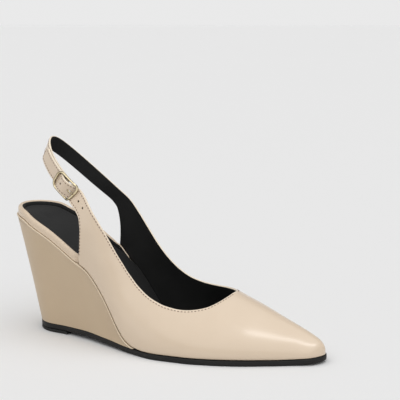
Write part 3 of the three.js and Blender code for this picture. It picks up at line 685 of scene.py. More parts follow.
# Upper
# One skin of smooth nude calf over a black lining: pointed vamp, low open sides, quarters, two straps.
# It is cut, folded at every edge and lasted over the board. Its wall is leather and lining together.
VAMP_LENGTH = 65.2
INSTEP_RISE = 37.0
STRAP_WALL = 1.3
LOOP_WALL = 0.5
STRAP_WIDTH = 11.2
STRAP_HEIGHT = 135.0
STRAP_SLOPE = 0.68
STRAP_TURN = 4.0
ANKLE_BACK = 25.0
ANKLE_DEPTH = 57.0
ANKLE_POINT = 1.12
ANKLE_WIDEST = 103.0
ACHILLES_LEAN = 0.5
BUCKLE_LENGTH = 20.4
WIRE = 1.3
BAR_PLAY = 0.45
TAIL_LENGTH = 33.3
TAIL_ROUND = 2.5
BUCKLE_LEAD = 13.2
ROOT_LEAD = 3.66
ROOT_WIDTH = 12.2
TIP_LENGTH = 10.0
THROAT = LENGTH - VAMP_LENGTH

SECTIONS = table(
    "along rise ridge side",
    (0.234, 2.2, 0.0, 0.6),
    (0.29, 2.1, 0.0, 0.6),
    (0.406, 1.98, 0.03, 0.52),
    (0.482, 1.9, 0.04, 0.44),
    (0.554, 1.66, 0.05, 0.39),
    (0.617, 1.38, 0.06, 0.37),
    (0.681, 1.13, 0.065, 0.37),
    (0.725, 1.0, 0.07, 0.37),
    (0.803, 0.81, 0.08, 0.37),
    (0.871, 0.62, 0.095, 0.37),
    (0.923, 0.475, 0.108, 0.37),
    (0.96, 0.35, 0.112, 0.38),
    (1.0, 0.18, 0.112, 0.42),
)
CROWN = table(
    "along outReach outDrop inReach inDrop",
    (0.29, 1.0, 0.04, 1.0, 0.04),
    (0.406, 0.7, 0.14, 0.75, 0.08),
    (0.482, 0.48, 0.2, 0.64, 0.08),
    (0.554, 0.38, 0.2, 0.65, 0.06),
    (0.617, 0.36, 0.17, 0.66, 0.03),
    (0.681, 0.36, 0.09, 0.64, 0.0),
    (0.725, 0.38, 0.0, 0.58, 0.0),
    (0.803, 0.42, 0.0, 0.52, 0.0),
    (0.93, 0.45, 0.0, 0.48, 0.0),
    (1.0, 0.46, 0.0, 0.46, 0.0),
)
SIDE_BULGE = 0.042
NOSE_SHARE = 0.55
NOSE_ROUND = 5.0
TOPLINE = table(
    "along height",
    (0.45, 1.33),
    (0.478, 1.14),
    (0.504, 1.018),
    (0.53, 0.927),
    (0.55, 0.878),
    (0.58, 0.812),
    (0.61, 0.783),
)
MOUTH_DEPTH = 42.0
MOUTH_HALF = {OUTER: 0.405, INNER: 0.34}
MOUTH_POWER = 2.1
BLEND_START = 0.55
BLEND_END = 0.61
INNER_RISE = 2.0
QUARTER_FOOT = table(
    "rib low",
    (0, 0.4515),
    (1, 0.41),
    (2, 0.372),
    (3, 0.34),
    (4, 0.313),
    (5, 0.29),
    (6, 0.295),
    (7, 0.297),
    (8, 0.289),
    (9, 0.27),
)
QUARTER_BACK_EDGE = table(
    "rib height",
    (5, 0.69),
    (6, 0.8),
    (7, 0.92),
    (8, 1.035),
    (9, 1.101),
)
QUARTER_TOP = table(
    "rib outTop inTop height",
    (0, 0.451, 0.451, 0.635),
    (1, 0.4245, 0.4235, 0.745),
    (2, 0.403, 0.4, 0.84),
    (3, 0.3825, 0.3785, 0.93),
    (4, 0.362, 0.3575, 1.01),
    (5, 0.346, 0.3415, 1.07),
    (6, 0.3355, 0.3315, 1.106),
    (7, 0.324, 0.3205, 1.142),
    (8, 0.3125, 0.3105, 1.172),
    (9, 0.299, 0.298, 1.208),
)
STANDING_RIBS = 5
ANKLE_RIB = 4.5
LAST_RIB = 9

rise_at = through(SECTIONS, "rise")
ridge_at = through(SECTIONS, "ridge")
side_at = through(SECTIONS, "side")
crown_reach = {OUTER: through(CROWN, "outReach"), INNER: through(CROWN, "inReach")}
crown_drop = {OUTER: through(CROWN, "outDrop"), INNER: through(CROWN, "inDrop")}
topline_height = through(TOPLINE, "height")
quarter_foot = through(QUARTER_FOOT, "low", "rib")
back_edge = through(QUARTER_BACK_EDGE, "height", "rib")
quarter_top = {OUTER: through(QUARTER_TOP, "outTop", "rib"), INNER: through(QUARTER_TOP, "inTop", "rib")}
quarter_top_height = through(QUARTER_TOP, "height", "rib")


def handles(x, side):
    """The four handles of the foot's section curve at x, from the feather edge to the ridge."""
    share = x / LENGTH
    half = bed_half(x, FEATHER_INSET)
    nose = mix(NOSE_SHARE, 1, rounding((LENGTH - FEATHER_INSET - x) / NOSE_ROUND))
    rise = INSTEP_RISE * rise_at(share) * nose
    low = bed_top(x) + GAP
    taper = half / (BALL_WIDTH / 2)
    bulge = SIDE_BULGE * BALL_WIDTH * min(1, 1.6 * taper)
    ridge = mix(middle_at(x), BALL_WIDTH * ridge_at(share), min(1, 2 * taper))
    return (
        (middle_at(x) + side * half, low),
        (middle_at(x) + side * (half + bulge), low + side_at(share) * rise),
        (ridge + side * crown_reach[side](share) * half, low + rise * (1 - crown_drop[side](share))),
        (ridge, low + rise),
    )


def bezier(p, t, k):
    r = 1 - t
    return r**3 * p[0][k] + 3 * r * r * t * p[1][k] + 3 * r * t * t * p[2][k] + t**3 * p[3][k]


def solve(p, k, value):
    """The share of a section curve at which one of its measures passes a value."""
    rising = p[3][k] > p[0][k]
    low, high = 0.0, 1.0
    for _ in range(26):
        t = (low + high) / 2
        if (bezier(p, t, k) < value) == rising:
            low = t
        else:
            high = t
    return (low + high) / 2


def form_side(x, z, side):
    p = handles(x, side)
    return bezier(p, solve(p, 1, z), 0)


def topline_share(x, side):
    if x >= THROAT:
        return 1.0
    p = handles(x, side)
    t = clamp((THROAT - x) / MOUTH_DEPTH)
    lift = INNER_RISE * t if side == INNER else 0
    by_side = solve(p, 1, sole_top(x) + INSTEP_RISE * topline_height(x / LENGTH) + lift)
    spread = (1 - (1 - t) ** MOUTH_POWER) ** (1 / MOUTH_POWER)
    by_plan = solve(p, 0, p[3][0] + side * BALL_WIDTH * MOUTH_HALF[side] * spread)
    return mix(by_side, by_plan, ease(x / LENGTH, BLEND_START, BLEND_END))


ankle_front = ANKLE_BACK + ANKLE_DEPTH


def ankle_back(z):
    return ANKLE_BACK + ACHILLES_LEAN * (z - STRAP_HEIGHT)


def ankle_width(z, side):
    return form_side(ankle_front, min(z, ANKLE_WIDEST), side)


def ankle(angle, z):
    """A point of the ankle: half an ellipse in plan, its back leaning forward as it rises."""
    y = ankle_width(z, OUTER if angle > 0 else INNER) * abs(math.sin(angle)) ** ANKLE_POINT
    return np.array([mix(ankle_back(z), ankle_front, 1 - math.cos(angle)), y, z])


def ankle_side(x, z, side):
    level = clamp((ankle_front - x) / (ankle_front - ankle_back(z)))
    return ankle_width(z, side) * math.sqrt(1 - level**2) ** ANKLE_POINT


def unit(v):
    return v / np.linalg.norm(v)


trace = [(0.0, 0.0, ankle(0, STRAP_HEIGHT))]
flat_run = 0.0
for turn in even(0, math.pi / 2, 110)[1:]:
    _, run, at = trace[-1]
    flat_run += math.hypot(*(ankle(turn, at[2]) - at)[:2])
    drop = math.hypot(flat_run * STRAP_SLOPE, STRAP_TURN) - STRAP_TURN
    here = ankle(turn, STRAP_HEIGHT - drop)
    trace.append((turn, run + float(np.linalg.norm(here - at)), here))
root_x = LENGTH * mix(quarter_foot(LAST_RIB), quarter_top[OUTER](LAST_RIB), 0.5) - ROOT_LEAD
before_root = [s for s in trace if s[2][0] < root_x][-1]
STRAP_ROOT = before_root[1] + (root_x - before_root[2][0]) / math.cos(math.atan(STRAP_SLOPE))
BUCKLE_PLACE = STRAP_ROOT - BUCKLE_LEAD
TAIL_END = BUCKLE_PLACE - TAIL_LENGTH


def strap_middle(run):
    i = max(1, next(k for k, s in enumerate(trace) if s[1] >= abs(run)))
    a, b = trace[i - 1], trace[i]
    t = (abs(run) - a[1]) / (b[1] - a[1])
    turn = math.copysign(mix(a[0], b[0], t), run)
    return turn, ankle(turn, mix(a[2][2], b[2][2], t))


def on_strap(run, across, height):
    """A point by its run along the strap, its place across it and its height over the ankle."""
    turn, at = strap_middle(run)
    along = unit(strap_middle(run + 0.8)[1] - strap_middle(run - 0.8)[1])
    up = unit(ankle(turn, at[2] + 1) - ankle(turn, at[2] - 1))
    out = unit(np.cross(along, up))
    return at + unit(np.cross(out, along)) * across + out * height


FACETS = 22
LOW_FACETS = 9
HOLE_FACETS = 3
EDGE_FACETS = (0.7, 0.9)
HOLE_FACET = 0.75
MIDDLE_SHARE = (LOW_FACETS + HOLE_FACETS / 2) / FACETS


def zone(length, n, relax):
    """Facet widths from a folded edge inwards; relax 1 makes them all even."""
    plain = (length - (1 - relax) * sum(EDGE_FACETS)) / (n - 2 + 2 * relax)
    return [mix(e, plain, relax) for e in EDGE_FACETS] + [plain] * (n - 2)


def respace(curve, wide, low_relax=1.0, top_relax=0.0, middle=0.5):
    """Points along a curve, from its lower edge up: close at folded edges and at the line of holes."""
    curve = np.asarray(curve)
    run = np.concatenate([[0], np.cumsum(np.linalg.norm(np.diff(curve, axis=0), axis=1))])
    length = max(run[-1], 1e-6)
    facet = mix(HOLE_FACET, length / FACETS, wide)
    centre = length * mix(middle, MIDDLE_SHARE, wide)
    beside = HOLE_FACETS / 2 * facet
    low = zone(centre - beside, LOW_FACETS, low_relax)
    high = zone(length - centre - beside, FACETS - LOW_FACETS - HOLE_FACETS, top_relax)
    ends = np.concatenate([[0], np.cumsum(low + [facet] * HOLE_FACETS + high[::-1])])
    return np.stack([np.interp(ends, run, curve[:, k]) for k in range(3)], axis=1)


SAMPLES = 40


def arch_rib(top_x, foot_x, power, side, top_relax=0.0):
    """A rib of the vamp or side. Near the throat its foot lies ahead, and it leaves the edge square."""
    top = topline_share(top_x, side)
    curve = []
    for v in even(1, 0, SAMPLES):
        x = top_x + (foot_x - top_x) * v**power
        p = handles(x, side)
        t = top * (1 - v)
        curve.append((x, bezier(p, t, 0), bezier(p, t, 1)))
    return respace(curve, 1.0, 1.0, top_relax)


def quarter_rib(rib, side, middle=0.5):
    start = (LENGTH * quarter_foot(rib), HEEL_HEIGHT * back_edge(rib))
    if rib <= STANDING_RIBS:
        start = (start[0], bed_top(start[0]) + GAP)
    lift = INNER_RISE * (1 - ease(rib, 4, LAST_RIB)) if side == INNER else 0
    end = (LENGTH * quarter_top[side](rib), HEEL_HEIGHT * quarter_top_height(rib) + lift)
    at_ankle = ease(rib, ANKLE_RIB, LAST_RIB)
    curve = []
    for t in even(0, 1, SAMPLES):
        x, z = mix(start[0], end[0], t), mix(start[1], end[1], t)
        curve.append((x, mix(form_side(x, z, side), ankle_side(x, z, side), at_ankle), z))
    return respace(curve, 1 - ease(rib, 4, 7.5), 1 - ease(rib, 4.3, 5.2), 0.0, middle)


ROOT_FLARE = 8.0


def root_width(run):
    return mix(STRAP_WIDTH, ROOT_WIDTH, ease(abs(run), STRAP_ROOT - ROOT_FLARE, STRAP_ROOT))


def strap_rib(run, height, width=STRAP_WIDTH):
    return respace([on_strap(run, s * width, height) for s in (-0.5, 0.0, 0.5)], 0.0, 0.0, 0.0)


PASS_OVER = table(
    "ahead height",
    (-11.0, GAP + STRAP_WALL),
    (-9.5, GAP + STRAP_WALL),
    (-8.5, 1.75),
    (-6.4, 2.8),
    (-3.8, 4.05),
    (-1.8, 4.5),
    (0.0, 4.57),
    (1.8, 4.25),
    (3.8, 3.2),
    (6.2, 1.5),
    (8.2, 0.3),
    (9.5, -0.02),
    (11.0, 0.0),
)
over_height = through(PASS_OVER, "height", "ahead")
SLOT = [6.7, 5.6, 4.5, 3.4]
SLOT_ALONG, SLOT_ACROSS = 1.4, 0.65
LUG_RADIUS = WIRE / 2 + 0.1
LUG_START, LUG_END = -2.6, -1.6
BAR_REACH = (BUCKLE_LENGTH - WIRE) / 2
REAR_BAR = GAP + STRAP_WALL + BAR_PLAY + WIRE / 2
FRONT_BAR = BAR_PLAY + WIRE / 2


def bar_height(ahead):
    return mix(REAR_BAR, FRONT_BAR, (ahead + BAR_REACH) / (2 * BAR_REACH))


MIDDLE_BAR = bar_height(0)
TOE_END = LENGTH - FEATHER_INSET
FAN_REACH = 12.0
FAN_POWER = 0.65

skin, skin_faces = [], []
walls = {}


def add_row(row, wall=None):
    start = len(skin)
    skin.extend(np.asarray(row))
    if wall:
        walls.update({i: wall for i in range(start, len(skin))})
    return list(range(start, len(skin)))


def join_rows(rows, open_after=()):
    """Quads between rows; after the rows named as open, the middle facets are left out."""
    for i in range(len(rows) - 1):
        for j in range(len(rows[i]) - 1):
            if i in open_after and LOW_FACETS <= j < LOW_FACETS + HOLE_FACETS:
                continue
            skin_faces.append((rows[i][j], rows[i][j + 1], rows[i + 1][j + 1], rows[i + 1][j]))


def punch(rows, along_radius, across_radius):
    """A round or oval hole in the nine middle facets of four rows. Returns its ring's points."""
    j0, j1 = LOW_FACETS, LOW_FACETS + HOLE_FACETS
    border = [rows[0][j] for j in range(j0, j1)] + [rows[i][j1] for i in range(3)]
    border += [rows[3][j] for j in range(j1, j0, -1)] + [rows[i][j0] for i in range(3, 0, -1)]
    centre = np.mean([skin[b] for b in border], axis=0)
    across = unit(skin[rows[1][j1]] - skin[rows[1][j0]])
    along = skin[rows[3][j0 + 1]] - skin[rows[0][j0 + 1]]
    along = unit(along - across * np.dot(along, across))
    half_along = max(abs(np.dot(skin[b] - centre, along)) for b in border)
    half_across = max(abs(np.dot(skin[b] - centre, across)) for b in border)
    ring = []
    for b in border:
        u = np.dot(skin[b] - centre, along) / half_along
        v = np.dot(skin[b] - centre, across) / half_across
        r = math.hypot(u, v)
        ring.append(centre + along * along_radius * u / r + across * across_radius * v / r)
    ends = add_row(ring)
    for k in range(len(border)):
        skin_faces.append((border[k - 1], border[k], ends[k], ends[k - 1]))
    return ring


# The vamp's arches lie over the ridge, from foot to foot.
VAMP_ARCHES, TIP_ARCHES = 34, 12
LEANING, SOFT_EDGED = 12, 8
TIP_START = TOE_END - TIP_LENGTH
vamp_tops = even(THROAT, TIP_START, VAMP_ARCHES)[:-1] + crowded(TOE_END, TIP_START, TIP_ARCHES)[::-1]
arches = []
for i, top_x in enumerate(vamp_tops):
    rest = clamp(1 - (top_x - THROAT) / (TIP_START - THROAT))
    foot_x = top_x + FAN_REACH * rest**1.5
    power = mix(FAN_POWER, 1, ease(i, 0, LEANING))
    relax = ease(i, 0, SOFT_EDGED)
    outer, inner = (arch_rib(top_x, foot_x, power, side, relax) for side in (OUTER, INNER))
    arches.append(add_row(np.concatenate([outer, inner[-2::-1]])))
join_rows(arches)

# The two wings: mouth, side and quarter, and then the strap.
MOUTH_RIBS = 26
QUARTER_RIBS = [i / 5 for i in range(0, 41)] + [8.1, 8.23, 8.36, 8.49, 8.66, 8.83, 9.0]
PATCH_RIB = QUARTER_RIBS.index(8.1)
ROOT_SHARES = [0.9, 0.775, 0.605, 0.435, 0.265, 0.13]
PATCH_ROOT = 1
HOLE_LINE = 0.54
HOLE_RADIUS = 0.75
mouth_tops = crowded(THROAT, THROAT - MOUTH_DEPTH, MOUTH_RIBS)
side_tops = even(THROAT - MOUTH_DEPTH, LENGTH * quarter_foot(0), 13)[1:-1]


def wing_rows(side):
    first = arches[0][:FACETS + 1] if side == OUTER else arches[0][:FACETS - 1:-1]
    rows = [first]
    for i in range(1, MOUTH_RIBS + 1):
        rest = 1 - i / MOUTH_RIBS
        foot_x = mouth_tops[i] + FAN_REACH * rest**2.5
        rows.append(add_row(arch_rib(mouth_tops[i], foot_x, mix(1, FAN_POWER, rest), side)))
    rows += [add_row(arch_rib(x, x, 1, side)) for x in side_tops]
    start = len(rows)
    for rib in QUARTER_RIBS:
        rows.append(add_row(quarter_rib(rib, side, mix(0.5, HOLE_LINE, ease(rib, LAST_RIB, 8.5)))))
    return rows, start


STRAP_HOLE = -1.56
TAIL_ROWS, CORNER_ROWS, STRAP_ROWS = 13, 7, 66


def outer_rows():
    """The outer strap's rows, each so far ahead of the buckle's middle bar, and then the tail's."""
    ahead = [BUCKLE_LEAD, 12.3, 11.4, 10.5, 9.5, 8.6, 7.6] + SLOT + [2.3, 1.2, 0, -0.8]
    ahead += [STRAP_HOLE - i * HOLE_FACET for i in range(4)] + [-5, -6.4, -7.5, -8.5, -9.5, -11]
    runs = [BUCKLE_PLACE + a for a in ahead]
    runs += even(runs[-1], TAIL_END + TAIL_ROUND, TAIL_ROWS)[1:]
    runs += crowded(TAIL_END, TAIL_END + TAIL_ROUND, CORNER_ROWS)[::-1][1:]
    rows = []
    for run in runs:
        corner = 2 * TAIL_ROUND * (1 - rounding((run - TAIL_END) / TAIL_ROUND))
        rows.append(add_row(strap_rib(run, over_height(run - BUCKLE_PLACE), root_width(run) - corner)))
    return rows, [ahead.index(SLOT[0]), ahead.index(STRAP_HOLE)]


def inner_rows():
    """The inner strap's rows, round the ankle to the buckle, and the lugs' rows round its middle bar."""
    runs = even(-STRAP_ROOT, BUCKLE_PLACE - 6, STRAP_ROWS)
    rows = [add_row(strap_rib(run, 0, root_width(run))) for run in runs]
    below = MIDDLE_BAR - LUG_RADIUS
    rows.append(add_row(strap_rib(BUCKLE_PLACE - 4.2, 0.3 * below)))
    lugs = len(rows)
    rows.append(add_row(strap_rib(BUCKLE_PLACE + LUG_START, 0.75 * below), LOOP_WALL))
    for a in even(-math.pi / 2, math.pi / 2, 10):
        run, height = BUCKLE_PLACE + LUG_RADIUS * math.cos(a), MIDDLE_BAR + LUG_RADIUS * math.sin(a)
        rows.append(add_row(strap_rib(run, height), LOOP_WALL))
    rows.append(add_row(strap_rib(BUCKLE_PLACE + LUG_END, MIDDLE_BAR + LUG_RADIUS), LOOP_WALL))
    return rows, list(range(lugs, len(rows)))


def between(a, b, share):
    return add_row([mix(skin[i], skin[j], share) for i, j in zip(a, b)])


FAIR_FROM, FAIR_PAST_ROOT = 3, 14
FAIR_ROUNDS = 60
FAIR_EASE = 6
FAIR_HEIGHT = 14


def fair(grid, first, last, free):
    """Evens out a wing lengthwise between two rows. Up to the row called free its foot stays in place."""
    block = np.array([[skin[k] for k in row] for row in grid[first:last]])
    rows = np.arange(len(block))
    share = np.minimum(1, np.minimum(rows, rows[::-1]) / FAIR_EASE)
    by_height = np.array([ease(j, 0, FAIR_HEIGHT) for j in range(FACETS + 1)])
    loose = np.array([ease(i + first, free, free + FAIR_EASE - 1) for i in rows])
    share = (share[:, None] * np.maximum(by_height[None, :], loose[:, None]))[:, :, None]
    for _ in range(FAIR_ROUNDS):
        pull = np.zeros_like(block)
        before, after = block[:-2] - block[1:-1], block[2:] - block[1:-1]
        near = np.linalg.norm(before, axis=2, keepdims=True) + 1e-6
        far = np.linalg.norm(after, axis=2, keepdims=True) + 1e-6
        pull[1:-1] = (before / near + after / far) * np.minimum(near, far) / 2
        block = block + 0.5 * pull * share
    for row, moved in zip(grid[first:last], block):
        for k, p in zip(row, moved):
            skin[k] = p


wing_grid = {}
hole_rings = []
for side in (OUTER, INNER):
    rows, quarter_start = wing_rows(side)
    strap, strap_marks = outer_rows() if side == OUTER else inner_rows()
    root = [between(strap[0], rows[-1], share) for share in ROOT_SHARES]
    last_rib = len(rows) - 1
    grid = rows + root + strap
    offset = last_rib + 1 + len(root)
    marks = [offset + i for i in strap_marks]
    free_row = quarter_start + 5 * STANDING_RIBS
    if side == OUTER:
        holes = [quarter_start + PATCH_RIB, last_rib + 1 + PATCH_ROOT, marks[1]]
        join_rows(grid, [patch + k for patch in holes + marks[:1] for k in range(3)])
        for patch in holes:
            hole_rings.append(punch(grid[patch:patch + 4], HOLE_RADIUS, HOLE_RADIUS))
        punch(grid[marks[0]:marks[0] + 4], SLOT_ALONG, SLOT_ACROSS)
    else:
        join_rows(grid, marks)
        fair(grid, FAIR_FROM, offset + FAIR_PAST_ROOT, free_row)
    wing_grid[side] = (grid, free_row)

upper_calf = make_calf("Upper calf", NUDE, NUDE_PATCH, 0.38, 0.8, HIGHLIGHT_COLOUR)
upper = make_piece("upper_skin", skin, skin_faces, upper_calf)
upper.data.materials.append(lining_leather)

# Painted shade: a dark pad of the lining closes the quarter's two holes from behind, for the dark that
# shows through them.
PAD_DEPTH, PAD_WALL, PAD_SIZE = 0.9, 0.2, 1.25
pad_points, pad_faces = [], []
for ring in hole_rings[:2]:
    centre = np.mean(ring, axis=0)
    out = unit(np.cross(ring[3] - centre, ring[0] - centre))
    if out[1] > 0:
        out = -out
    base, n = len(pad_points), len(ring)
    for depth in (PAD_DEPTH, PAD_DEPTH + PAD_WALL):
        pad_points += [centre + (p - centre) * PAD_SIZE - out * depth for p in ring]
    pad_faces += [tuple(range(base, base + n)), tuple(range(base + n, base + 2 * n))]
    pad_faces += tube_faces(base, 2, n)
make_piece("hole_shade_pads", pad_points, pad_faces, lining_leather, sharp=40)

# Where an edge is folded, with a painted highlight along it, and how thick the wall is: thinner on the
# straps and thinnest at the lugs.
HIGHLIGHT_AT_EDGE, HIGHLIGHT_BESIDE = 1.0, 0.35
THINNING = 0.15
highlight_of = np.zeros(len(skin))
for side, (grid, free_row) in wing_grid.items():
    for i, row in enumerate(grid):
        highlight_of[row[-1]] = HIGHLIGHT_AT_EDGE
        highlight_of[row[-2]] = HIGHLIGHT_BESIDE
        if i > free_row:
            highlight_of[row[0]] = HIGHLIGHT_AT_EDGE
            highlight_of[row[1]] = HIGHLIGHT_BESIDE
    if side == OUTER:
        highlight_of[grid[-1]] = HIGHLIGHT_AT_EDGE
skin_at = nearest_of(skin)
source = [skin_at(v.co) for v in upper.data.vertices]
set_edge_highlight(upper, [highlight_of[i] for i in source])
thickness = upper.vertex_groups.new(name="wall")
for v, i in zip(upper.data.vertices, source):
    plain = mix(UPPER_WALL, STRAP_WALL, ease(skin[i][2] / HEEL_HEIGHT, 1, 1 + THINNING))
    thickness.add([v.index], walls.get(i, plain) / UPPER_WALL, "REPLACE")

# The skin's faces have to look outwards, or its wall would grow outwards too.
ridge_spot = skin[arches[VAMP_ARCHES // 3][FACETS]]
top_face = min(upper.data.polygons, key=lambda f: np.linalg.norm(in_mm(f.center) - ridge_spot))
if top_face.normal.z < 0:
    upper.data.flip_normals()

# Soft creases where the vamp bends and where the straps have been drawn round the ankle.
CREASES = table(
    "start end width depth",
    ((176, -21, 31), (187, -31, 17), 3.2, -0.22),
    ((183, -16, 33), (195, -27, 16), 2.6, -0.15),
    ((179, -21, 30), (191, -29, 17), 2.4, 0.12),
    ((178, 29, 31), (190, 35, 14), 3.2, -0.2),
    ((108, -28, 44), (126, -33, 22), 5.0, -0.25),
    ((76, -27, 74), (92, -29, 66), 4.0, -0.2),
    ((120, -34, 26), (150, -39, 14), 4.5, 0.15),
)
LEAST_SHIFT = 0.002
for v in upper.data.vertices:
    at = in_mm(v.co)
    shift = 0.0
    for c in CREASES:
        a, b = np.array(c["start"], float), np.array(c["end"], float)
        t = clamp(np.dot(at - a, b - a) / np.dot(b - a, b - a))
        away = np.linalg.norm(at - a - (b - a) * t)
        shift += c["depth"] * math.exp(-((away / c["width"]) ** 2))
    if abs(shift) > LEAST_SHIFT:
        v.co += v.normal * (shift / METRE)

wall = upper.modifiers.new("Wall", "SOLIDIFY")
wall.thickness = UPPER_WALL / METRE
wall.offset = -1
wall.use_even_offset = False
wall.vertex_group = "wall"
wall.material_offset = 1
finer = upper.modifiers.new("Finer", "SUBSURF")
finer.levels = 1
finer.render_levels = 1
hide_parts("upper")

# Stitches
# One row of mauve-brown thread beside every folded edge, 1.6 mm in, sunk in its needle holes at both ends,
# which are dark with painted shade.
# It holds the folded edge and the lining together and runs on round the strap's tail.
STITCH_PITCH = 2.3
STITCH_LENGTH = 1.1
THREAD = 0.28
PIT_LENGTH = 0.28
PIT_RADIUS = 0.17
INWARD = 3
SEAM_STOPS = {OUTER: 3, INNER: 16}
NEEDLE_STEP = 0.25
thread = make_material(
    "Thread", 0.00004, Colour=(0.20, 0.115, 0.085, 1), Patch_colour=(0.13, 0.07, 0.05, 1),
    Patches_per_metre=900.0, Patch_amount=0.8, Grains_per_metre=6000.0, Roughness=0.6,
)[0]
# Painted shade: the needle holes are beads sunk a little in the surface and coloured dark for the shade
# inside the holes.
needle_hole_shade = make_material(
    "Needle hole shade", 0.00002, Colour=(0.05, 0.032, 0.022, 1), Patch_colour=(0.05, 0.032, 0.022, 1),
    Patches_per_metre=900.0, Grains_per_metre=6000.0, Roughness=0.75,
)[0]
BEAD = [(-1.0, 0.0), (-0.86, 0.7), (-0.5, 1.0), (0.5, 1.0), (0.86, 0.7), (1.0, 0.0)]
BEAD_SIDES = 6


def add_bead(points, faces, at, along, out, half, radius, flat):
    """A small closed bead lying along a direction; flat squeezes it towards the surface."""
    aside = np.cross(out, along)
    base = len(points)
    for share, swell in BEAD:
        for k in range(BEAD_SIDES):
            a = 2 * math.pi * k / BEAD_SIDES
            ring = aside * math.cos(a) * radius * swell + out * math.sin(a) * radius * swell * flat
            points.append(at + along * half * share + ring)
    faces += tube_faces(base, len(BEAD), BEAD_SIDES)


def seam_path(grid, row_from, row_to, low):
    """Points of a seam and the direction towards the edge, from a wing's rows."""
    path = []
    for row in grid[row_from:row_to]:
        a, b = (row[INWARD - 1], row[INWARD + 1]) if low else (row[-INWARD], row[-INWARD - 2])
        path.append((skin[a], skin[a] - skin[b]))
    return path


def away_from_foot(p):
    """Roughly outwards at a point: from the ankle's middle, or from the foot's, low inside it."""
    x = max(p[0], ankle_front)
    z = p[2] if p[0] < ankle_front + 10 else min(p[2], bed_top(p[0]) + 6)
    return p - np.array([x, middle_at(p[0]), z])


seams = []
for side, (grid, free_row) in wing_grid.items():
    end = len(grid) - SEAM_STOPS[side]
    along_top, along_back = seam_path(grid, 1, end, False), seam_path(grid, free_row + 1, end, True)
    if side == OUTER:
        tail, before = grid[end - 1], grid[end - 3]
        turn_back = [(skin[k], skin[k] - skin[j]) for j, k in list(zip(before, tail))[INWARD:-INWARD]]
        seams.append(along_top + turn_back[::-1] + along_back[::-1])
    else:
        seams += [along_top, along_back]
stitch_points, stitch_faces, pit_points, pit_faces = [], [], [], []
MARKS = table(
    "offset half radius flat proud points faces",
    (0.5, STITCH_LENGTH / 2, THREAD, 0.8, 0.04, stitch_points, stitch_faces),
    (0.5 - NEEDLE_STEP, PIT_LENGTH / 2, PIT_RADIUS, 0.4, -0.03, pit_points, pit_faces),
    (0.5 + NEEDLE_STEP, PIT_LENGTH / 2, PIT_RADIUS, 0.4, -0.03, pit_points, pit_faces),
)
for seam in seams:
    places = np.array([p for p, _ in seam])
    edgewise = np.array([e for _, e in seam])
    run = np.concatenate([[0], np.cumsum(np.linalg.norm(np.diff(places, axis=0), axis=1))])
    count = int(run[-1] / STITCH_PITCH)

    def at_run(values, r):
        return np.array([np.interp(r, run, values[:, k]) for k in range(3)])

    for n in range(count):
        for m in MARKS:
            r = (n + m["offset"]) * run[-1] / count
            at = at_run(places, r)
            along = unit(at_run(places, min(r + 0.5, run[-1])) - at_run(places, max(r - 0.5, 0)))
            out = unit(np.cross(along, at_run(edgewise, r)))
            if np.dot(out, away_from_foot(at)) < 0:
                out = -out
            at = at + out * m["proud"]
            add_bead(m["points"], m["faces"], at, along, out, m["half"], m["radius"], m["flat"])
make_piece("edge_stitches", stitch_points, stitch_faces, thread)
make_piece("needle_holes", pit_points, pit_faces, needle_hole_shade)

# Buckle
# A pale gold plated brass frame of one bent wire with a middle bar, about which the prong's eye turns.
# The strap's lugs hold the bar; the outer strap runs over it, under the front bar, and on to its tail.
WIRE_RADIUS = WIRE / 2
RING_RADIUS = 0.82
PRONG_RADIUS = 0.5
BUCKLE_ROUND = 4.2
SIDE_PLAY = 0.45
brass, brass_tree, brass_shader, brass_block = make_material(
    "Gold plated brass", 0.000006, {"Metallic": 1.0}, Colour=(0.8, 0.69, 0.47, 1),
    Patch_colour=(0.7, 0.59, 0.38, 1), Patches_per_metre=160.0, Grains_per_metre=2600.0, Roughness=0.17,
)
# Painted shade: the colour is darkened towards dark olive where the wire turns away from the view.
facing = add_node(brass_tree, "LayerWeight", {"Blend": 0.4}).outputs["Facing"]
painted_shade = add_range(brass_tree, facing, 0.1, 0.42, 0.0, 0.95, "SMOOTHSTEP")
shaded_colour = add_mix(brass_tree, painted_shade, brass_block.outputs["Colour"], (0.13, 0.1, 0.045, 1))
brass_tree.links.new(shaded_colour, brass_shader.inputs["Base Color"])


def wire_parts(path, radius, closed, points, faces, facets=16):
    """A round wire along places, each with a direction that its section keeps to."""
    n = len(path)
    base = len(points)
    for i, (at, out) in enumerate(path):
        after = path[(i + 1) % n if closed else min(n - 1, i + 1)][0]
        before = path[(i - 1) % n if closed else max(0, i - 1)][0]
        along = unit(after - before)
        aside = unit(np.cross(along, out))
        up = unit(np.cross(aside, along))
        for k in range(facets):
            a = 2 * math.pi * k / facets
            points.append(at + (aside * math.cos(a) + up * math.sin(a)) * radius)
    faces += tube_faces(base, n, facets, closed)
    if not closed:
        faces.append(tuple(range(base, base + facets)))
        faces.append(tuple(range(base + (n - 1) * facets, base + n * facets)))


FRAME_HALF = STRAP_WIDTH / 2 + SIDE_PLAY + WIRE_RADIUS
SIDE_REACH = 3.9


def frame_corner(sx, sy):
    spots = []
    for t in even(0, 1, 8):
        a = math.pi / 2 * (t if sx * sy > 0 else 1 - t)
        in_x = BAR_REACH - BUCKLE_ROUND + BUCKLE_ROUND * math.cos(a)
        spots.append((sx * in_x, sy * (FRAME_HALF - BUCKLE_ROUND + BUCKLE_ROUND * math.sin(a))))
    return spots


def frame_place(ahead, across):
    at = on_strap(BUCKLE_PLACE + ahead, across, bar_height(ahead))
    return at, on_strap(BUCKLE_PLACE + ahead, across, bar_height(ahead) + 1) - at


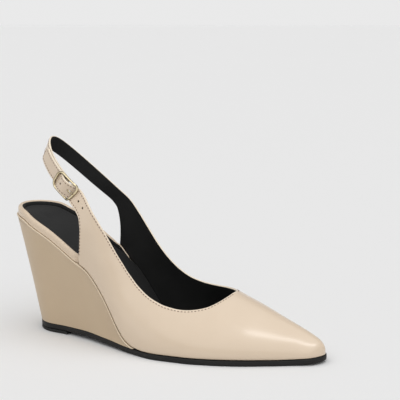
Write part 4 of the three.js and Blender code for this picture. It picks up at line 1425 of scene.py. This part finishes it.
frame_spots = []
for side in (1, -1):
    straight = [(side * a, side * FRAME_HALF) for a in even(SIDE_REACH, -SIDE_REACH, 5)]
    frame_spots += frame_corner(side, side) + straight + frame_corner(-side, side)
buckle_points, buckle_faces = [], []
wire_parts([frame_place(*s) for s in frame_spots], RING_RADIUS, True, buckle_points, buckle_faces)
bar = [frame_place(0, t * FRAME_HALF) for t in even(-1, 1, 6)]
wire_parts(bar, WIRE_RADIUS, False, buckle_points, buckle_faces)
buckle = make_piece("buckle_ring", buckle_points, buckle_faces, brass, sharp=50)
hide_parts("buckle_frame")

# Prong
# A thinner brass wire, its end hammered thin and bent to an eye round the middle bar.
# Its arm comes up through the strap's slot and lies on the front bar.
EYE_WIRE = 0.3
EYE_PLAY = 0.1
EYE = WIRE_RADIUS + EYE_PLAY + EYE_WIRE
TIP_REACH = BAR_REACH + 0.7
TIP_HEIGHT = FRONT_BAR + WIRE_RADIUS + GAP + PRONG_RADIUS
prong_across = on_strap(BUCKLE_PLACE, 1, 0) - on_strap(BUCKLE_PLACE, -1, 0)


def prong_place(ahead, height):
    return on_strap(BUCKLE_PLACE + ahead, 0, height), prong_across


ARM = table(
    "ahead rise",
    (EYE, 0.0),
    (2.4, 0.12),
    (3.5, 0.3),
    (5.2, 0.62),
    (7.0, 0.9),
    (BAR_REACH - 0.6, 1.0),
    (TIP_REACH, 0.98),
)
arm_rise = through(ARM, "rise", "ahead")
prong_points, prong_faces = [], []
eye_turns = even(0, 2 * math.pi, 28)[:-1]
eye = [prong_place(EYE * math.cos(a), MIDDLE_BAR + EYE * math.sin(a)) for a in eye_turns]
wire_parts(eye, EYE_WIRE, True, prong_points, prong_faces, 12)
arm = [prong_place(a, mix(MIDDLE_BAR, TIP_HEIGHT, arm_rise(a))) for a in even(EYE, TIP_REACH, 16)]
wire_parts(arm, PRONG_RADIUS, False, prong_points, prong_faces, 12)
prong = make_piece("buckle_tongue", prong_points, prong_faces, brass, sharp=50)
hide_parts("buckle_prong")

# Floor, light and camera
# A pale seamless studio floor, not part of the shoe, under a soft sky, one soft sun and two large lamps.
# The camera keeps the photograph's angle.
floor_material = make_material(
    "Studio floor", 0.00001, {"Specular IOR Level": 0.15}, Colour=(0.885, 0.885, 0.885, 1),
    Patch_colour=(0.88, 0.88, 0.88, 1), Patches_per_metre=2.0, Grains_per_metre=400.0, Roughness=0.8,
    Roughness_change=0.05,
)[0]
floor_mesh = bpy.data.meshes.new("studio_floor")
FLOOR = 120.0
floor_mesh.from_pydata(
    [(-FLOOR, -FLOOR, 0), (FLOOR, -FLOOR, 0), (FLOOR, FLOOR, 0), (-FLOOR, FLOOR, 0)], [], [(0, 1, 2, 3)]
)
floor_mesh.materials.append(floor_material)
floor = add_object("studio_floor", floor_mesh)

HORIZON_GLOW = 0.82
ZENITH_GLOW = 0.43
world = bpy.data.worlds.new("Studio")
world.use_nodes = True
sky = world.node_tree
# The sky is as bright as the floor where they meet, so that no horizon shows, and dimmer above.
direction = add_node(sky, "TexCoord").outputs["Generated"]
height = add_node(sky, "SeparateXYZ", {"Vector": direction}).outputs["Z"]
glow = add_range(sky, height, 0.05, 0.3, HORIZON_GLOW, ZENITH_GLOW, "SMOOTHSTEP")
background = sky.nodes["Background"]
background.inputs["Color"].default_value = (1.0, 1.0, 1.0, 1)
sky.links.new(glow, background.inputs["Strength"])
bpy.context.scene.world = world
bpy.context.scene.view_settings.view_transform = "Standard"


def add_lamp(name, kind, at, target, energy, length_along=(1, 0, 0), **settings):
    lamp = bpy.data.lights.new(name, kind)
    lamp.energy = energy
    for key, value in settings.items():
        setattr(lamp, key, value)
    holder = add_object(name, lamp)
    holder.location = at
    back = (Vector(at) - Vector(target)).normalized()
    across = back.cross(Vector(length_along)).normalized()
    holder.rotation_euler = Matrix((across.cross(back), across, back)).transposed().to_euler()
    return holder


add_lamp("Soft_sun", "SUN", (0.5, -0.7, 2.4), (0, 0, 0), 1.6, angle=math.radians(100))
fill_lamp = add_lamp(
    "Fill_lamp", "AREA", (-1.2, -1.2, 0.6), (0, 0, 0.06), 3.2, shape="RECTANGLE", size=1.5, size_y=1.2,
)
strip_lamp = add_lamp(
    "Strip_lamp", "AREA", (0.78, -0.2, 1.19), (0.08, -0.01, 0.02), 4.1, length_along=(0.47, 0.36, -0.06),
    shape="RECTANGLE", size=0.9, size_y=0.21,
)
# The two lamps model the shoe only; the floor keeps the even tone of the sky and the sun.
spared = bpy.data.collections.new("Spared_by_lamps")
spared.objects.link(floor)
spared.collection_objects[0].light_linking.link_state = "EXCLUDE"
for lamp in (fill_lamp, strip_lamp):
    lamp.light_linking.receiver_collection = spared

PITCH = math.radians(9.55)
AZIMUTH = math.radians(28.39)
camera_data = bpy.data.cameras.new("Camera")
camera_data.lens = 94.28
camera_data.sensor_width = 36.0
camera = add_object("Camera", camera_data)
camera.location = (0.3602, -0.60895, 0.2194)
look = Vector((-math.sin(AZIMUTH), math.cos(AZIMUTH), -math.tan(PITCH)))
camera.rotation_euler = look.to_track_quat("-Z", "Y").to_euler()
bpy.context.scene.camera = camera
